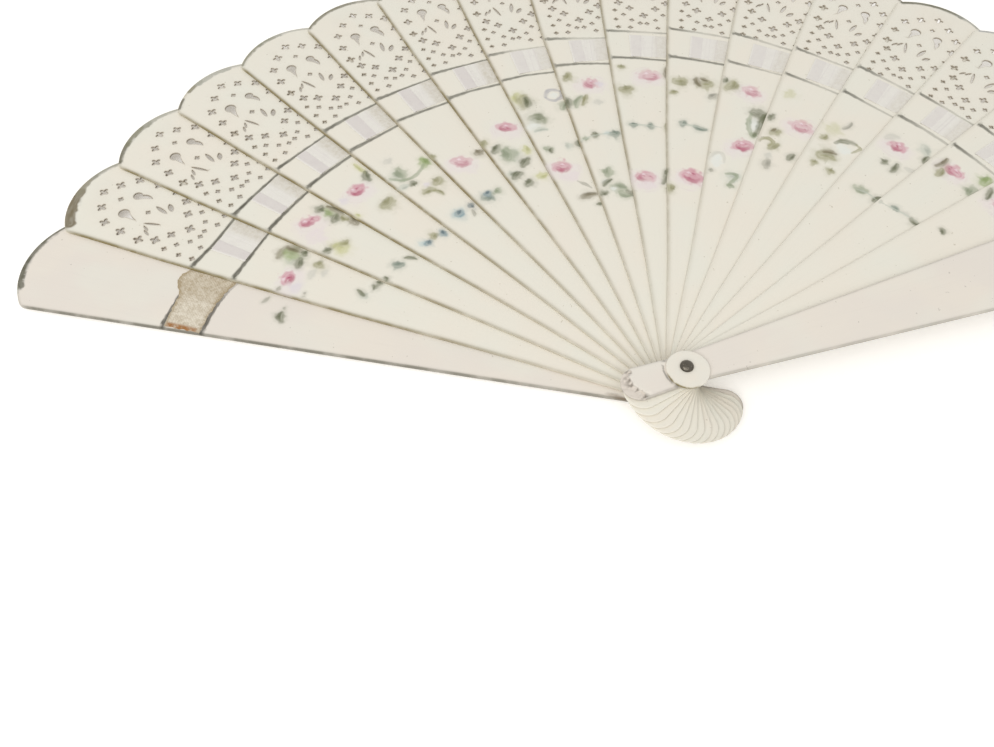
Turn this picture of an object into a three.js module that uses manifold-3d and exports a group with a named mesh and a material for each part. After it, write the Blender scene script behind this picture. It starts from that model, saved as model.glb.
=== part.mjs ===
// Brisé folding fan: rigid pierced sticks that turn on one rivet and are kept in step by a ribbon.
// Millimetres, +Z up. The fan lies spread on its back with the pivot axis on Z, its middle along +Y
// and the underside of the rivet at Z = 0. Each stick is drawn with its pivot at the origin and its
// tip along +Y, then turned about Z to its place in the spread.

import * as THREE from 'three';
import { mergeVertices } from 'three/addons/utils/BufferGeometryUtils.js';
import Module from 'manifold-3d';

const wasm = await Module();
wasm.setup();

// Spread
const innerStickCount = 16;
const spreadDegrees = 147;

// Stick outline
const tipReach = 186;
const tipRise = 6.4;
const tipWidth = 31.6;
const tipCornerRadius = 2.5;
const pivotWidth = 8.2;
const tailReach = 17.5;
const tailWidth = 9.4;

// Layers of the stack
const stickThickness = 0.45;
const guardThickness = 1.1;
const washerThickness = 0.8;
const layerGap = 0.25;
const seatGap = 0.05;

// Rivet and washers
const shankRadius = 1.25;
const shankClearance = 0.12;
const domeRadius = 1.75;
const domeHeight = 1.1;
const setHeadRadius = 1.8;
const setHeadThickness = 0.5;
const washerRadius = 5.5;

// Ribbon band
const ribbonWidth = 11;
const ribbonThickness = 0.12;
const ribbonLift = 0.03;
const bandReach = 131.8;
const slitOffset = -5;
const slitWidth = 0.9;
const slitEndGap = 0.4;
const gluedEndInset = 0.6;

// Pierced work: a ring of crosses round a spray, with dots between the ring and the band
const ringCrossCount = 14;
const ringHalfWidth = 10;
const ringHalfLength = 15.9;
const ringDropFromTip = 23.4;
const crossReach = 1.35;
const crossWaist = 0.5;
const dotRadius = 0.7;
const topDotRise = 9.6;
const middleDotDrop = 0.8;
const commaSide = 4;
const commaRise = 5.4;
const commaRadius = 1.7;
const commaTailDrop = 4.2;
const commaTailSide = 0.4;
const commaOpenDegrees = 20;
const slashLength = 4;
const slashWidth = 0.9;
const slashTilts = [16, 45];
const slashSides = [2.8, 4.9];
const slashDrops = [4, 6.6];
const fieldDotDrop = 4;
const fieldDotSide = 5.4;
const fieldDotClimb = 3.6;

// Facets
const tipArcSteps = 6;
const cornerArcSteps = 2;
const tailArcSteps = 6;
const holeSides = 8;
const dotSides = 4;
const commaArcSteps = 3;
const roundSides = 16;
const domeSteps = 4;

// Colours
const ivoryColour = 0xe9e2d0;
const guardColour = 0xe8e0d2;
const washerColour = 0xe6dfcf;
const rivetColour = 0x4a4640;
const silkColour = 0xe6e2e4;
const gluedSilkColour = 0xb9a887;

// Derived places
const stickCount = innerStickCount + 2;
const stepDegrees = spreadDegrees / (stickCount - 1);
const shoulderReach = tipReach - tipRise;
const sideSlope = (tipWidth - pivotWidth) / 2 / shoulderReach;
const tipArcRadius = ((tipWidth / 2) ** 2 + tipRise ** 2) / (2 * tipRise);
const ringReach = tipReach - ringDropFromTip;
const holeRadius = (shankRadius + shankClearance) / Math.cos(Math.PI / holeSides);
const backWasherZ = setHeadThickness + seatGap;
const backGuardZ = backWasherZ + washerThickness + seatGap;
const firstStickZ = backGuardZ + guardThickness + layerGap;
const layerPitch = stickThickness + layerGap;
const frontGuardZ = firstStickZ + innerStickCount * layerPitch;
const frontWasherZ = frontGuardZ + guardThickness + seatGap;
const domeZ = frontWasherZ + washerThickness + seatGap;

const fan = new THREE.Group();

// Small helpers

const at = (x, y) => new THREE.Vector2(x, y);

function arcPoints(centre, radius, startAngle, endAngle, steps) {
  return Array.from({ length: steps + 1 }, (_, step) => {
    const angle = startAngle + ((endAngle - startAngle) * step) / steps;
    return at(centre.x + radius * Math.cos(angle), centre.y + radius * Math.sin(angle));
  });
}

function circlePoints(centre, radius, sides) {
  return arcPoints(centre, radius, 0, 2 * Math.PI, sides).slice(0, -1);
}

function mirrored(points) {
  return points.map((point) => at(-point.x, point.y)).reverse();
}

function finish(colour, roughness, metalness = 0) {
  return new THREE.MeshStandardMaterial({ color: colour, roughness, metalness });
}

function plate(shape, thickness) {
  return new THREE.ExtrudeGeometry(shape, { depth: thickness, bevelEnabled: false });
}

function place(name, geometry, material, z, layer = null) {
  const mesh = new THREE.Mesh(geometry, material);
  mesh.name = name;
  mesh.position.z = z;
  const turned = new THREE.Group();
  if (layer !== null) {
    turned.rotation.z = THREE.MathUtils.degToRad(spreadDegrees / 2 - layer * stepDegrees);
  }
  turned.add(mesh);
  fan.add(turned);
}

function solid(geometry) {
  const bare = geometry.clone();
  bare.deleteAttribute('normal');
  bare.deleteAttribute('uv');
  const merged = mergeVertices(bare, 1e-4);
  return new wasm.Manifold(new wasm.Mesh({
    numProp: 3,
    vertProperties: new Float32Array(merged.attributes.position.array),
    triVerts: new Uint32Array(merged.index.array),
  }));
}

function geometryOf(manifold) {
  const mesh = manifold.getMesh();
  const geometry = new THREE.BufferGeometry();
  geometry.setAttribute('position', new THREE.BufferAttribute(mesh.vertProperties, mesh.numProp));
  geometry.setIndex(new THREE.BufferAttribute(mesh.triVerts, 1));
  return geometry;
}

// Stick outline: round tail, waist at the pivot, straight taper and a scalloped tip

const halfWidth = (reach) => pivotWidth / 2 + sideSlope * reach;

function tipCorner() {
  // The round corner touches the straight side from inside and the tip arc from inside
  const sideAngle = Math.atan(sideSlope);
  const along = at(Math.sin(sideAngle), Math.cos(sideAngle));
  const inward = at(-Math.cos(sideAngle), Math.sin(sideAngle));
  const arcCentre = at(0, tipReach - tipArcRadius);
  const start = at(pivotWidth / 2, 0).addScaledVector(inward, tipCornerRadius).sub(arcCentre);
  const inner = tipArcRadius - tipCornerRadius;
  const half = start.dot(along);
  const run = -half + Math.sqrt(half ** 2 - start.lengthSq() + inner ** 2);
  const offset = start.addScaledVector(along, run);
  const centre = offset.clone().add(arcCentre);
  return { arcCentre, centre, sideAngle: -sideAngle, tipAngle: offset.angle() };
}

function stickOutline() {
  const { arcCentre, centre, sideAngle, tipAngle } = tipCorner();
  const tailRadius = tailWidth / 2;
  const tailCentre = at(0, tailRadius - tailReach);
  const rightCorner = arcPoints(centre, tipCornerRadius, sideAngle, tipAngle, cornerArcSteps);
  const tip = arcPoints(arcCentre, tipArcRadius, tipAngle, Math.PI - tipAngle, tipArcSteps);
  return [
    at(pivotWidth / 2, 0),
    ...rightCorner,
    ...tip.slice(1, -1),
    ...mirrored(rightCorner),
    at(-pivotWidth / 2, 0),
    ...arcPoints(tailCentre, tailRadius, Math.PI, 2 * Math.PI, tailArcSteps),
  ];
}

function stickShape() {
  const shape = new THREE.Shape(stickOutline());
  shape.holes.push(new THREE.Path(circlePoints(at(0, 0), holeRadius, holeSides)));
  return shape;
}

// Pierced work

function crossHole(x, y) {
  const points = Array.from({ length: 8 }, (_, corner) => {
    const reach = corner % 2 === 0 ? crossReach : crossWaist;
    const angle = (corner * Math.PI) / 4;
    return at(x + reach * Math.cos(angle), y + reach * Math.sin(angle));
  });
  return new THREE.Path(points);
}

function dotHole(x, y) {
  return new THREE.Path(circlePoints(at(x, y), dotRadius, dotSides));
}

function slashHole(x, y, side, tiltDegrees) {
  // A slender cut that leans outwards from the middle of the spray
  const tilt = THREE.MathUtils.degToRad(tiltDegrees);
  const along = at(Math.sin(tilt) * side, Math.cos(tilt)).multiplyScalar(slashLength / 2);
  const across = at(Math.cos(tilt), -Math.sin(tilt) * side).multiplyScalar(slashWidth / 2);
  const centre = at(x, y);
  return new THREE.Path([
    centre.clone().add(along),
    centre.clone().add(across),
    centre.clone().sub(along),
    centre.clone().sub(across),
  ]);
}

function commaHole(x, y, side) {
  // A round head with a tail that points to the rivet
  const open = THREE.MathUtils.degToRad(commaOpenDegrees);
  const head = arcPoints(at(0, 0), commaRadius, -open, Math.PI + open, commaArcSteps);
  const points = [...head, at(commaTailSide, -commaTailDrop)];
  return new THREE.Path(points.map((point) => at(x + side * point.x, y + point.y)));
}

function ringCrosses() {
  return Array.from({ length: ringCrossCount }, (_, index) => {
    const turn = (index * 2 * Math.PI) / ringCrossCount;
    return crossHole(ringHalfWidth * Math.sin(turn), ringReach + ringHalfLength * Math.cos(turn));
  });
}

function spray() {
  const holes = [dotHole(0, ringReach + topDotRise), dotHole(0, ringReach - middleDotDrop)];
  for (const side of [-1, 1]) {
    holes.push(commaHole(side * commaSide, ringReach + commaRise, side));
    slashSides.forEach((slashSide, index) => {
      holes.push(slashHole(side * slashSide, ringReach - slashDrops[index], side, slashTilts[index]));
    });
  }
  return holes;
}

function fieldDots() {
  const reach = ringReach - ringHalfLength - fieldDotDrop;
  return [-1, 0, 1].map((side) => dotHole(side * fieldDotSide, reach + Math.abs(side) * fieldDotClimb));
}

function ribbonSlit() {
  const halfSlit = slitWidth / 2;
  const halfLength = ribbonWidth / 2 + slitEndGap;
  return new THREE.Path([
    at(slitOffset - halfSlit, bandReach - halfLength),
    at(slitOffset + halfSlit, bandReach - halfLength),
    at(slitOffset + halfSlit, bandReach + halfLength),
    at(slitOffset - halfSlit, bandReach + halfLength),
  ]);
}

function piercedStickShape() {
  const shape = stickShape();
  shape.holes.push(ribbonSlit(), ...ringCrosses(), ...spray(), ...fieldDots());
  return shape;
}

// Ribbon: each span comes up through its stick's slit and runs under the next stick to that one's slit

function ribbonStrip(startOffset) {
  const next = THREE.MathUtils.degToRad(-stepDegrees);
  const inner = bandReach - ribbonWidth / 2;
  const outer = bandReach + ribbonWidth / 2;
  const pivot = at(0, 0);
  const shape = new THREE.Shape([
    at(startOffset, inner),
    at(slitOffset, inner).rotateAround(pivot, next),
    at(slitOffset, outer).rotateAround(pivot, next),
    at(startOffset, outer),
  ]);
  return plate(shape, ribbonThickness);
}

function threadedSpan() {
  const riseHeight = stickThickness + ribbonLift + ribbonThickness;
  const riser = new THREE.BoxGeometry(ribbonThickness, ribbonWidth, riseHeight);
  riser.translate(slitOffset + ribbonThickness / 2, bandReach, riseHeight / 2);
  const strip = ribbonStrip(slitOffset).translate(0, 0, stickThickness + ribbonLift);
  return geometryOf(solid(strip).add(solid(riser)));
}

// Rivet and washers

function rivetGeometry() {
  const domeSphere = (domeRadius ** 2 + domeHeight ** 2) / (2 * domeHeight);
  const domeCentre = at(0, domeZ + domeHeight - domeSphere);
  const domeRim = Math.asin((domeZ - domeCentre.y) / domeSphere);
  const dome = arcPoints(domeCentre, domeSphere, domeRim, Math.PI / 2, domeSteps);
  const profile = [
    at(0, 0),
    at(setHeadRadius, 0),
    at(setHeadRadius, setHeadThickness),
    at(shankRadius, setHeadThickness),
    at(shankRadius, domeZ),
    ...dome.slice(0, -1),
    at(0, domeZ + domeHeight),
  ];
  return new THREE.LatheGeometry(profile, roundSides).rotateX(Math.PI / 2);
}

function washerGeometry() {
  const shape = new THREE.Shape(circlePoints(at(0, 0), washerRadius, roundSides));
  shape.holes.push(new THREE.Path(circlePoints(at(0, 0), holeRadius, holeSides)));
  return plate(shape, washerThickness);
}

// Assembly, from the back of the stack to the front

function placeGuard(name, z, layer) {
  place(name, plate(stickShape(), guardThickness), finish(guardColour, 0.5), z, layer);
}

place('rivet', rivetGeometry(), finish(rivetColour, 0.45, 0.8), 0);
place('back_washer', washerGeometry(), finish(washerColour, 0.5), backWasherZ);
placeGuard('back_guard', backGuardZ, 0);

const gluedEndOffset = gluedEndInset - halfWidth(bandReach);
const gluedEndZ = backGuardZ + guardThickness + ribbonLift;
place('ribbon_01', ribbonStrip(gluedEndOffset), finish(gluedSilkColour, 0.9), gluedEndZ, 0);

for (let layer = 1; layer <= innerStickCount; layer += 1) {
  const number = String(layer + 1).padStart(2, '0');
  const z = firstStickZ + (layer - 1) * layerPitch;
  const stick = plate(piercedStickShape(), stickThickness);
  place(`stick_${number}`, stick, finish(ivoryColour, 0.5), z, layer);
  place(`ribbon_${number}`, threadedSpan(), finish(silkColour, 0.85), z, layer);
}

placeGuard('front_guard', frontGuardZ, stickCount - 1);
place('front_washer', washerGeometry(), finish(washerColour, 0.5), frontWasherZ);

export default fan;
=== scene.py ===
"""Painted folding fan: pierced ivory-coloured sticks, two guards, a silk ribbon and a rivet.

Lengths in the mesh code are millimetres in the frame of one stick: the rivet's axis at the origin, the
tip along +Y and the front along +Z. A mesh is scaled to metres when it is made.
"""

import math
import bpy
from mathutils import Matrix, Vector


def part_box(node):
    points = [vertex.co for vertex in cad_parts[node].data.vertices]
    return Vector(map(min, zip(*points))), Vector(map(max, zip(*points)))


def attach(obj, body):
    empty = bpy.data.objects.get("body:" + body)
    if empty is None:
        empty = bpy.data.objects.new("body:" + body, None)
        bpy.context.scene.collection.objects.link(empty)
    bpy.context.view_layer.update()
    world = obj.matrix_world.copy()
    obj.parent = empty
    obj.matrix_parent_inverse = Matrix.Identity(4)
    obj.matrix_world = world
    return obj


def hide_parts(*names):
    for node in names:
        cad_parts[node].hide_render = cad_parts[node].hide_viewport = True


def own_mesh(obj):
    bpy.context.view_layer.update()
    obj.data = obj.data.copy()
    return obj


bl_info = {
    "name": "Painted folding fan",
    "version": (1, 0, 0),
    "blender": (4, 5, 0),
    "location": "View3D > Sidebar > Fan",
    "description": "Dresses the packed folding fan with pierced, painted sticks and a silk ribbon",
    "category": "Object",
}

from types import SimpleNamespace

import bpy
import numpy as np
from bpy.props import FloatProperty, FloatVectorProperty, PointerProperty
from mathutils import Matrix, Quaternion, Vector
from mathutils.geometry import delaunay_2d_cdt

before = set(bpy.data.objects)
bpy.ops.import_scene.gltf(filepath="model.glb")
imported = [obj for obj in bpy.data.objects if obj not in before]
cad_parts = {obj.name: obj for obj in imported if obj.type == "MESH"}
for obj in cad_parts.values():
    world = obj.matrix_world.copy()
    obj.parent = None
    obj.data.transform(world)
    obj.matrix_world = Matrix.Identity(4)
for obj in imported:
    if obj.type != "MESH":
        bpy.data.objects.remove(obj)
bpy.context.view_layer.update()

MM = 0.001
BACK_GUARD = 1
FIRST_STICK = 2
LAST_STICK = 17
FRONT_GUARD = 18


def srgb(red, green, blue):
    """Linear colour of a screen colour given from 0 to 255."""
    return tuple(((v / 255 + 0.055) / 1.055) ** 2.4 for v in (red, green, blue))


def length(name, about, millimetres):
    """Length property with a default in millimetres."""
    return FloatProperty(name=name, description=about, default=millimetres * MM, min=0.0,
                         unit="LENGTH", subtype="DISTANCE", precision=5)


def colour(name, about, red, green, blue):
    """Colour property with a default given as a screen colour."""
    return FloatVectorProperty(name=name, description=about, default=srgb(red, green, blue), size=3,
                               min=0.0, max=1.0, subtype="COLOR")


class FanSizes(bpy.types.PropertyGroup):
    """Sizes of the fan's pieces."""

    spread: FloatProperty(name="Spread", description="Angle between the two guards of the open fan",
                          default=math.radians(147), subtype="ANGLE", unit="ROTATION")
    tip_reach: length("Tip reach", "Rivet's axis to the top of a stick's tip", 186)
    tip_rise: length("Tip rise", "Height of the tip's round above its corners", 6.4)
    tip_width: length("Tip width", "Width of a stick across its tip's corners", 31.6)
    tip_corner: length("Tip corner", "Radius of the tip's corners", 2.5)
    pivot_width: length("Pivot width", "Width of a stick at the rivet's axis", 8.2)
    tail_reach: length("Tail reach", "Rivet's axis to the end of the round tail", 17.5)
    tail_width: length("Tail width", "Width of the round tail", 9.4)
    stick_rim: length("Stick rim", "Rounding along a stick's edges", 0.1)
    guard_rim: length("Guard rim", "Rounding along a guard's edges", 0.24)
    rivet_hole: length("Rivet hole", "Radius of the hole for the rivet", 1.37)
    rivet_shank: length("Rivet shank", "Radius of the rivet's shank", 1.25)
    rivet_head: length("Rivet head", "Radius of the rivet's domed head", 1.75)
    rivet_set: length("Rivet set head", "Radius of the rivet's flat set head", 1.8)
    ribbon_width: length("Ribbon width", "Width of the silk ribbon", 11)
    ribbon_weight: length("Ribbon thickness", "Thickness of the silk", 0.06)
    band_reach: length("Band reach", "Rivet's axis to the middle of the ribbon", 131.8)
    slit_offset: length("Slit offset", "How far the ribbon's slit is left of a stick's middle", 5)
    slit_width: length("Slit width", "Width of the slit that the ribbon comes through", 0.9)
    paint_pitch: length("Paint pitch", "Spacing of the mesh points that carry paint", 0.26)
    paint_relief: length("Paint relief", "Thickness of the paint", 0.018)


class FanColours(bpy.types.PropertyGroup):
    """Colours of the fan's finishes."""

    ivory: colour("Ivory", "Main colour of the sticks", 233, 228, 214)
    ivory_warm: colour("Warm ivory", "Faint peach clouds in the sticks", 235, 226, 211)
    ivory_cool: colour("Cool ivory", "Faint greenish clouds in the sticks", 230, 229, 216)
    guard_ivory: colour("Guard ivory", "Main colour of the guards", 229, 221, 210)
    # Also the colour of the grime and painted shade on the washers' rims.
    edge_stain_and_shade: colour("Edge stain", "Golden-brown stain along the sticks' edges", 122, 107, 60)
    guard_edge: colour("Guard edge", "Grey-brown of the guards' cut edges", 112, 108, 94)
    # The grime colour also stands for painted shade inside and round the cut holes.
    grime_and_shade: colour("Grime", "Brown-grey dirt in the cut holes", 162, 149, 130)
    # The brush line's colour also paints the shade along the front washer's edge.
    brush_line_and_shade: colour("Brush line", "Dark olive-grey of the painted lines", 62, 58, 44)
    faded_line: colour("Faded line", "Worn grey-green of the painted lines", 150, 150, 132)
    rose_deep: colour("Deep rose", "Heart of the painted roses", 170, 72, 100)
    rose_soft: colour("Soft rose", "Petals of the painted roses", 202, 127, 147)
    rose_halo: colour("Rose halo", "Palest outer petals", 231, 219, 220)
    rose_light: colour("Rose light", "Light inside the roses", 243, 228, 231)
    silk: colour("Silk", "Main colour of the ribbon", 231, 227, 218)
    silk_shade: colour("Silk shade", "Lavender-grey of the ribbon's folds", 214, 206, 202)
    # Brown of the dust, and of the painted shade, towards the next stick.
    silk_dust_and_shade: colour("Silk soil", "Brown dust caught in the ribbon", 203, 195, 178)
    glued_silk: colour("Glued silk", "Ribbon end stained by glue", 229, 220, 202)
    glued_shade: colour("Glued shade", "Darkest stains of the glued end", 168, 150, 118)
    glue: colour("Glue", "Old glue at the ribbon's end", 156, 106, 52)
    washer: colour("Washer", "Main colour of the washers", 231, 226, 213)
    steel: colour("Rivet steel", "Darkened steel of the rivet", 92, 87, 78)


# Pigments of the painted garlands, as screen colours.
PIGMENTS = {
    "dark": (94, 99, 66), "bark": (116, 105, 74), "olive": (148, 145, 101), "moss": (138, 160, 90),
    "lime": (199, 198, 138), "straw": (208, 205, 172), "sage": (145, 155, 126), "mist": (196, 200, 186),
    "teal": (108, 126, 112), "blue": (64, 122, 140), "ink": (78, 98, 106), "moon": (122, 130, 98),
    "sky": (194, 209, 206), "grey": (162, 159, 144), "faint": (208, 205, 193), "white": (231, 233, 226),
    "pearl": (172, 170, 174), "lilac": (222, 214, 218), "blush": (230, 218, 217),
}
PALE_PIGMENTS = ("white", "blush", "faint", "sky", "lilac", "straw")

# Painted leaves and dabs by stick: pigment, place across and along the stick, length and breadth in
# millimetres, and heading in degrees (0 to the right, 90 to the tip).
LEAVES = {
    1: (("grey", 2.8, 115.2, 3.2, 1.1, -30), ("dark", -1.6, 109, 4.2, 2.2, 15),
        ("grey", 1.3, 109.1, 1.1, 0.9, 0)),
    2: (("lilac", -8, 108.2, 3.6, 4.4, 0), ("faint", -2.1, 106.4, 4, 2, 0),
        ("faint", -0.3, 103.3, 3, 2, 0), ("grey", -10.2, 112.6, 2, 1.2, 0),
        ("bark", 1.5, 118.2, 5, 2.4, 0), ("mist", 0.3, 114.6, 2.4, 4, 0),
        ("moss", 2.1, 115.3, 6, 4.6, 90), ("bark", 4.2, 115.6, 5.5, 2, 90),
        ("dark", 0.1, 111.8, 4.6, 2.6, 15), ("dark", 3.6, 112.2, 2.6, 2.2, 60),
        ("olive", 1.5, 106.4, 3.6, 3.4, 90), ("grey", -10.1, 104.7, 1, 0.8, 0),
        ("grey", -8.8, 105, 1, 0.8, 0), ("mist", -3.2, 89.6, 3, 2.4, 60),
        ("dark", -2.6, 90.9, 3.4, 1.2, 65), ("dark", 0.9, 88.2, 1.9, 2.2, 90),
        ("dark", 2.5, 87.6, 2.2, 1.4, 90)),
    3: (("blush", -6.5, 112.5, 6, 7, 0), ("olive", -7, 105.4, 3, 1.6, 0), ("lime", -6, 102.7, 5, 5, 0),
        ("olive", -4, 103.6, 3, 2, -20), ("dark", -9.2, 106.1, 3, 2, -30),
        ("moss", 3.3, 114.2, 5, 3.2, 90), ("dark", 2.4, 117.4, 3.6, 3, 0),
        ("bark", 4.3, 113.2, 7, 1.6, 88), ("dark", 2.1, 111.4, 4, 3, 10),
        ("bark", 3.7, 106.4, 4.4, 3, 80), ("olive", 3.6, 109.2, 3, 1.8, 90),
        ("teal", -2.9, 85.9, 4, 2.6, -60), ("dark", -9, 85.9, 2.2, 1.5, 60),
        ("dark", 0.8, 84.1, 4.2, 1, -65)),
    4: (("lilac", -9, 112.8, 3, 2.4, 90), ("lime", 3.9, 118.4, 6, 1.3, 85),
        ("dark", 3.2, 114.5, 4.8, 2.2, 65), ("lime", -10.2, 105.6, 2, 1.6, 90),
        ("olive", -0.9, 102.7, 6, 3.8, 8), ("sky", -5.9, 83.8, 2.6, 2, 0),
        ("blue", -4.5, 82.8, 2.8, 2, 0), ("olive", -1.4, 83.2, 3, 2.5, 0), ("blue", 1, 81.9, 3, 2.4, 80),
        ("ink", -4.2, 82.9, 1.7, 1.1, 20), ("ink", 1.1, 82.4, 1.5, 1, 60)),
    5: (("faint", -6, 114, 3.4, 2.4, 0), ("mist", -7.8, 107, 5, 4, 80), ("sage", -6, 107.4, 5.4, 3.6, 82),
        ("moss", 2, 106.5, 5, 3.4, 68), ("dark", -5.9, 101.6, 3, 2.2, -15),
        ("mist", -9, 102.4, 3.6, 2, -10), ("olive", 0.2, 97.7, 4.5, 3.8, 20),
        ("lilac", -3.4, 98.6, 2.2, 1.8, 90), ("olive", -4.3, 96.1, 5, 2, -15),
        ("olive", -2.5, 93.8, 4, 1.3, -68), ("sky", -3.4, 83.8, 4.6, 3.6, 0),
        ("blue", -3.1, 83.6, 3.2, 2.8, 0), ("ink", 1.4, 83.6, 2.5, 2.4, 0), ("grey", 0, 80.9, 3, 1, 65),
        ("ink", -3, 83.8, 2, 1.1, 20)),
    6: (("olive", -11, 105.5, 2.6, 1.8, 90), ("bark", 2.2, 99.5, 3.6, 2.6, 10),
        ("teal", -5.5, 83, 4.5, 3.6, 15), ("blue", -4.8, 83.8, 2.6, 2, 0),
        ("sage", -1.4, 83, 2.8, 2.6, 90), ("ink", -4.7, 84, 1.7, 1, 10)),
    7: (("olive", -9.9, 100.9, 3.4, 2.4, 60), ("dark", -7.6, 97.3, 4.6, 2.6, 40),
        ("mist", -4.2, 93.2, 6, 5, 90), ("sage", -5.4, 93.8, 6.6, 5, 80), ("lime", 1, 93.2, 4, 2.5, 80),
        ("dark", -1.7, 88.6, 5, 2.6, 35), ("mist", -7.6, 85.8, 3, 2, 0),
        ("dark", -6.2, 84.5, 4.6, 2.8, 20), ("dark", -4.4, 80.6, 3.8, 3, 40),
        ("lime", 0.6, 81.5, 4, 2.6, 0)),
    8: (("lime", -9.2, 114.6, 6, 3.4, 80), ("olive", -7.8, 112.8, 7, 4.4, 80),
        ("dark", -7, 112, 5, 2.2, 80), ("moon", -5.8, 103.4, 6.6, 5.4, -20),
        ("white", -7.9, 100.6, 5, 3.4, 0), ("mist", -6.4, 98.6, 5, 1.6, 0),
        ("white", 2.6, 113, 3, 2.8, 0), ("sage", 4.4, 107.6, 5, 3, 45),
        ("bark", 5.4, 106.4, 3.4, 1.6, 60), ("sage", -6.6, 90.4, 3.4, 2, -20),
        ("dark", -6, 89.4, 2.4, 1.4, 80), ("mist", -0.4, 90, 3, 2.2, 80), ("dark", 3.3, 90, 3.4, 1.8, 90),
        ("blush", -4, 78, 7, 3.4, 0), ("bark", -1, 68.5, 5.6, 2.2, 4), ("dark", 1, 64.6, 2, 1.2, 0)),
    9: (("olive", -9, 119.5, 4.6, 3.2, 60), ("lilac", 1, 115, 3, 2.4, 0),
        ("dark", -10.8, 107.3, 5, 2.4, 85), ("sage", -7.2, 107.4, 6.4, 2, 62),
        ("olive", -5.2, 108, 5.6, 1.6, 66), ("faint", -0.9, 106.4, 3.4, 2.2, 0),
        ("sage", -8.1, 90.7, 2.4, 2, 0), ("dark", -5, 92.1, 3, 2.2, 90), ("sky", -0.8, 92.2, 2.6, 1.2, 0),
        ("teal", 1.4, 91.8, 4, 3, 10), ("sage", -4, 75.9, 4.6, 3, 70), ("white", -5.5, 72, 2.4, 1.6, 0),
        ("dark", -5, 71.6, 4.6, 1.3, 40), ("dark", -6.8, 67.5, 3, 2, 20), ("sage", -2, 69, 6, 3.6, -15),
        ("white", -3.6, 69, 2, 1.6, 0), ("dark", 1, 66.5, 3.2, 2.6, -40),
        ("sage", -0.8, 66.4, 4, 2, -40)),
    10: (("olive", -8.9, 121.8, 2.8, 2.2, 0), ("olive", -8.1, 110.9, 5.5, 4.2, 8),
         ("bark", 6.3, 119, 7.5, 1.6, 90), ("teal", -6.6, 94.5, 3.2, 1.9, 0),
         ("teal", -1.1, 94.1, 3, 2.6, 90), ("olive", 3.9, 93.5, 4, 1.8, 88), ("blush", -4, 68.4, 6, 3, 0),
         ("dark", 1.5, 72.3, 6.6, 1.5, 76), ("dark", 2.2, 74.4, 2.4, 1.2, 60),
         ("olive", 2.8, 67.3, 3.4, 2.6, 70)),
    11: (("olive", -7.5, 115, 5.6, 4.4, 15), ("olive", -9.3, 109.1, 3.2, 2.2, 25),
         ("olive", 0.8, 114.8, 6, 5, 10), ("bark", -1.8, 115.6, 5, 2, -70), ("bark", 0, 117, 3, 1.4, -20),
         ("grey", 3.1, 109.5, 4, 2.4, 45), ("teal", -5.5, 95.3, 3.4, 2.4, 75),
         ("teal", 0, 94.1, 5, 1.9, -12), ("dark", -9.3, 71.4, 6.4, 1.6, 80),
         ("olive", -7.3, 66.8, 3.6, 2.8, 75)),
    12: (("olive", -9, 115.3, 6, 4, 70), ("dark", -11, 117, 3, 1.6, 80),
         ("white", 1.5, 99.5, 6.4, 2.6, 92), ("dark", 2.2, 105, 6.6, 4, 0),
         ("dark", 4.2, 103.6, 5, 3, 80), ("sage", 2.2, 94.8, 3, 2, 85), ("white", -6.4, 80.2, 6, 3, 90),
         ("grey", -7.6, 75.6, 1.8, 1.5, 90), ("mist", -0.8, 75.4, 5, 4, 0),
         ("sage", -0.8, 71, 2.6, 1.6, 0)),
    13: (("dark", -9.8, 103.6, 3.8, 2, 85), ("straw", -8.1, 116.8, 4.6, 3.4, 85),
         ("olive", -6.5, 97.7, 4.4, 3.2, 45), ("bark", -7.4, 98.4, 2.4, 1, 60),
         ("olive", -5.1, 91.4, 4.6, 2.4, 60), ("grey", -4.7, 83.4, 5, 2.6, 98),
         ("faint", -5.4, 87, 3, 2, 90), ("dark", 1, 89.5, 4, 2, 75)),
    14: (("straw", -7.2, 106.8, 5.6, 5.2, 80), ("olive", -8.1, 102, 3.4, 2.2, 70),
         ("grey", -4.2, 110.9, 5, 1.3, 75), ("white", -0.8, 100.6, 5, 4, 0),
         ("olive", -4, 94.6, 6.6, 5.2, 20), ("bark", -3.6, 96.6, 4.6, 1.4, 20),
         ("olive", -5.9, 90.2, 2.6, 2.4, 0), ("olive", -0.4, 89.7, 3, 2.4, 0)),
    15: (("faint", -8.2, 113.6, 5, 2.6, 50), ("dark", -4.1, 102.9, 2.8, 2.3, 80),
         ("dark", -0.7, 102.7, 5, 1.7, 95), ("mist", 2, 115.9, 5.4, 3.4, -50),
         ("dark", 4.3, 112.4, 4, 1.6, 95), ("faint", 3.2, 105.5, 4, 1.6, 20),
         ("sage", -3, 87.9, 5, 2.8, 20), ("dark", 2.5, 87.7, 4, 1.9, 70)),
    16: (("bark", -9, 114.1, 6, 1.6, 88), ("olive", -6.7, 110.3, 4.6, 2.1, 100),
         ("sage", 3.8, 111.4, 5.2, 4, -75), ("dark", 5.4, 111.6, 4, 1.3, 90),
         ("moss", 3.8, 118.6, 5.4, 4, 90), ("teal", -5, 87.9, 3, 1.8, 0),
         ("faint", -1.8, 88.6, 3, 1.8, 0), ("dark", 1.8, 88.5, 4, 1.9, 5)),
    17: (("dark", -5, 91.5, 2.6, 1.7, -30), ("dark", -9.6, 114, 5.8, 1.5, -62),
         ("olive", 2, 118, 4.8, 2.6, 70), ("sage", 3, 108, 4.8, 2.8, -50)),
}

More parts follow.
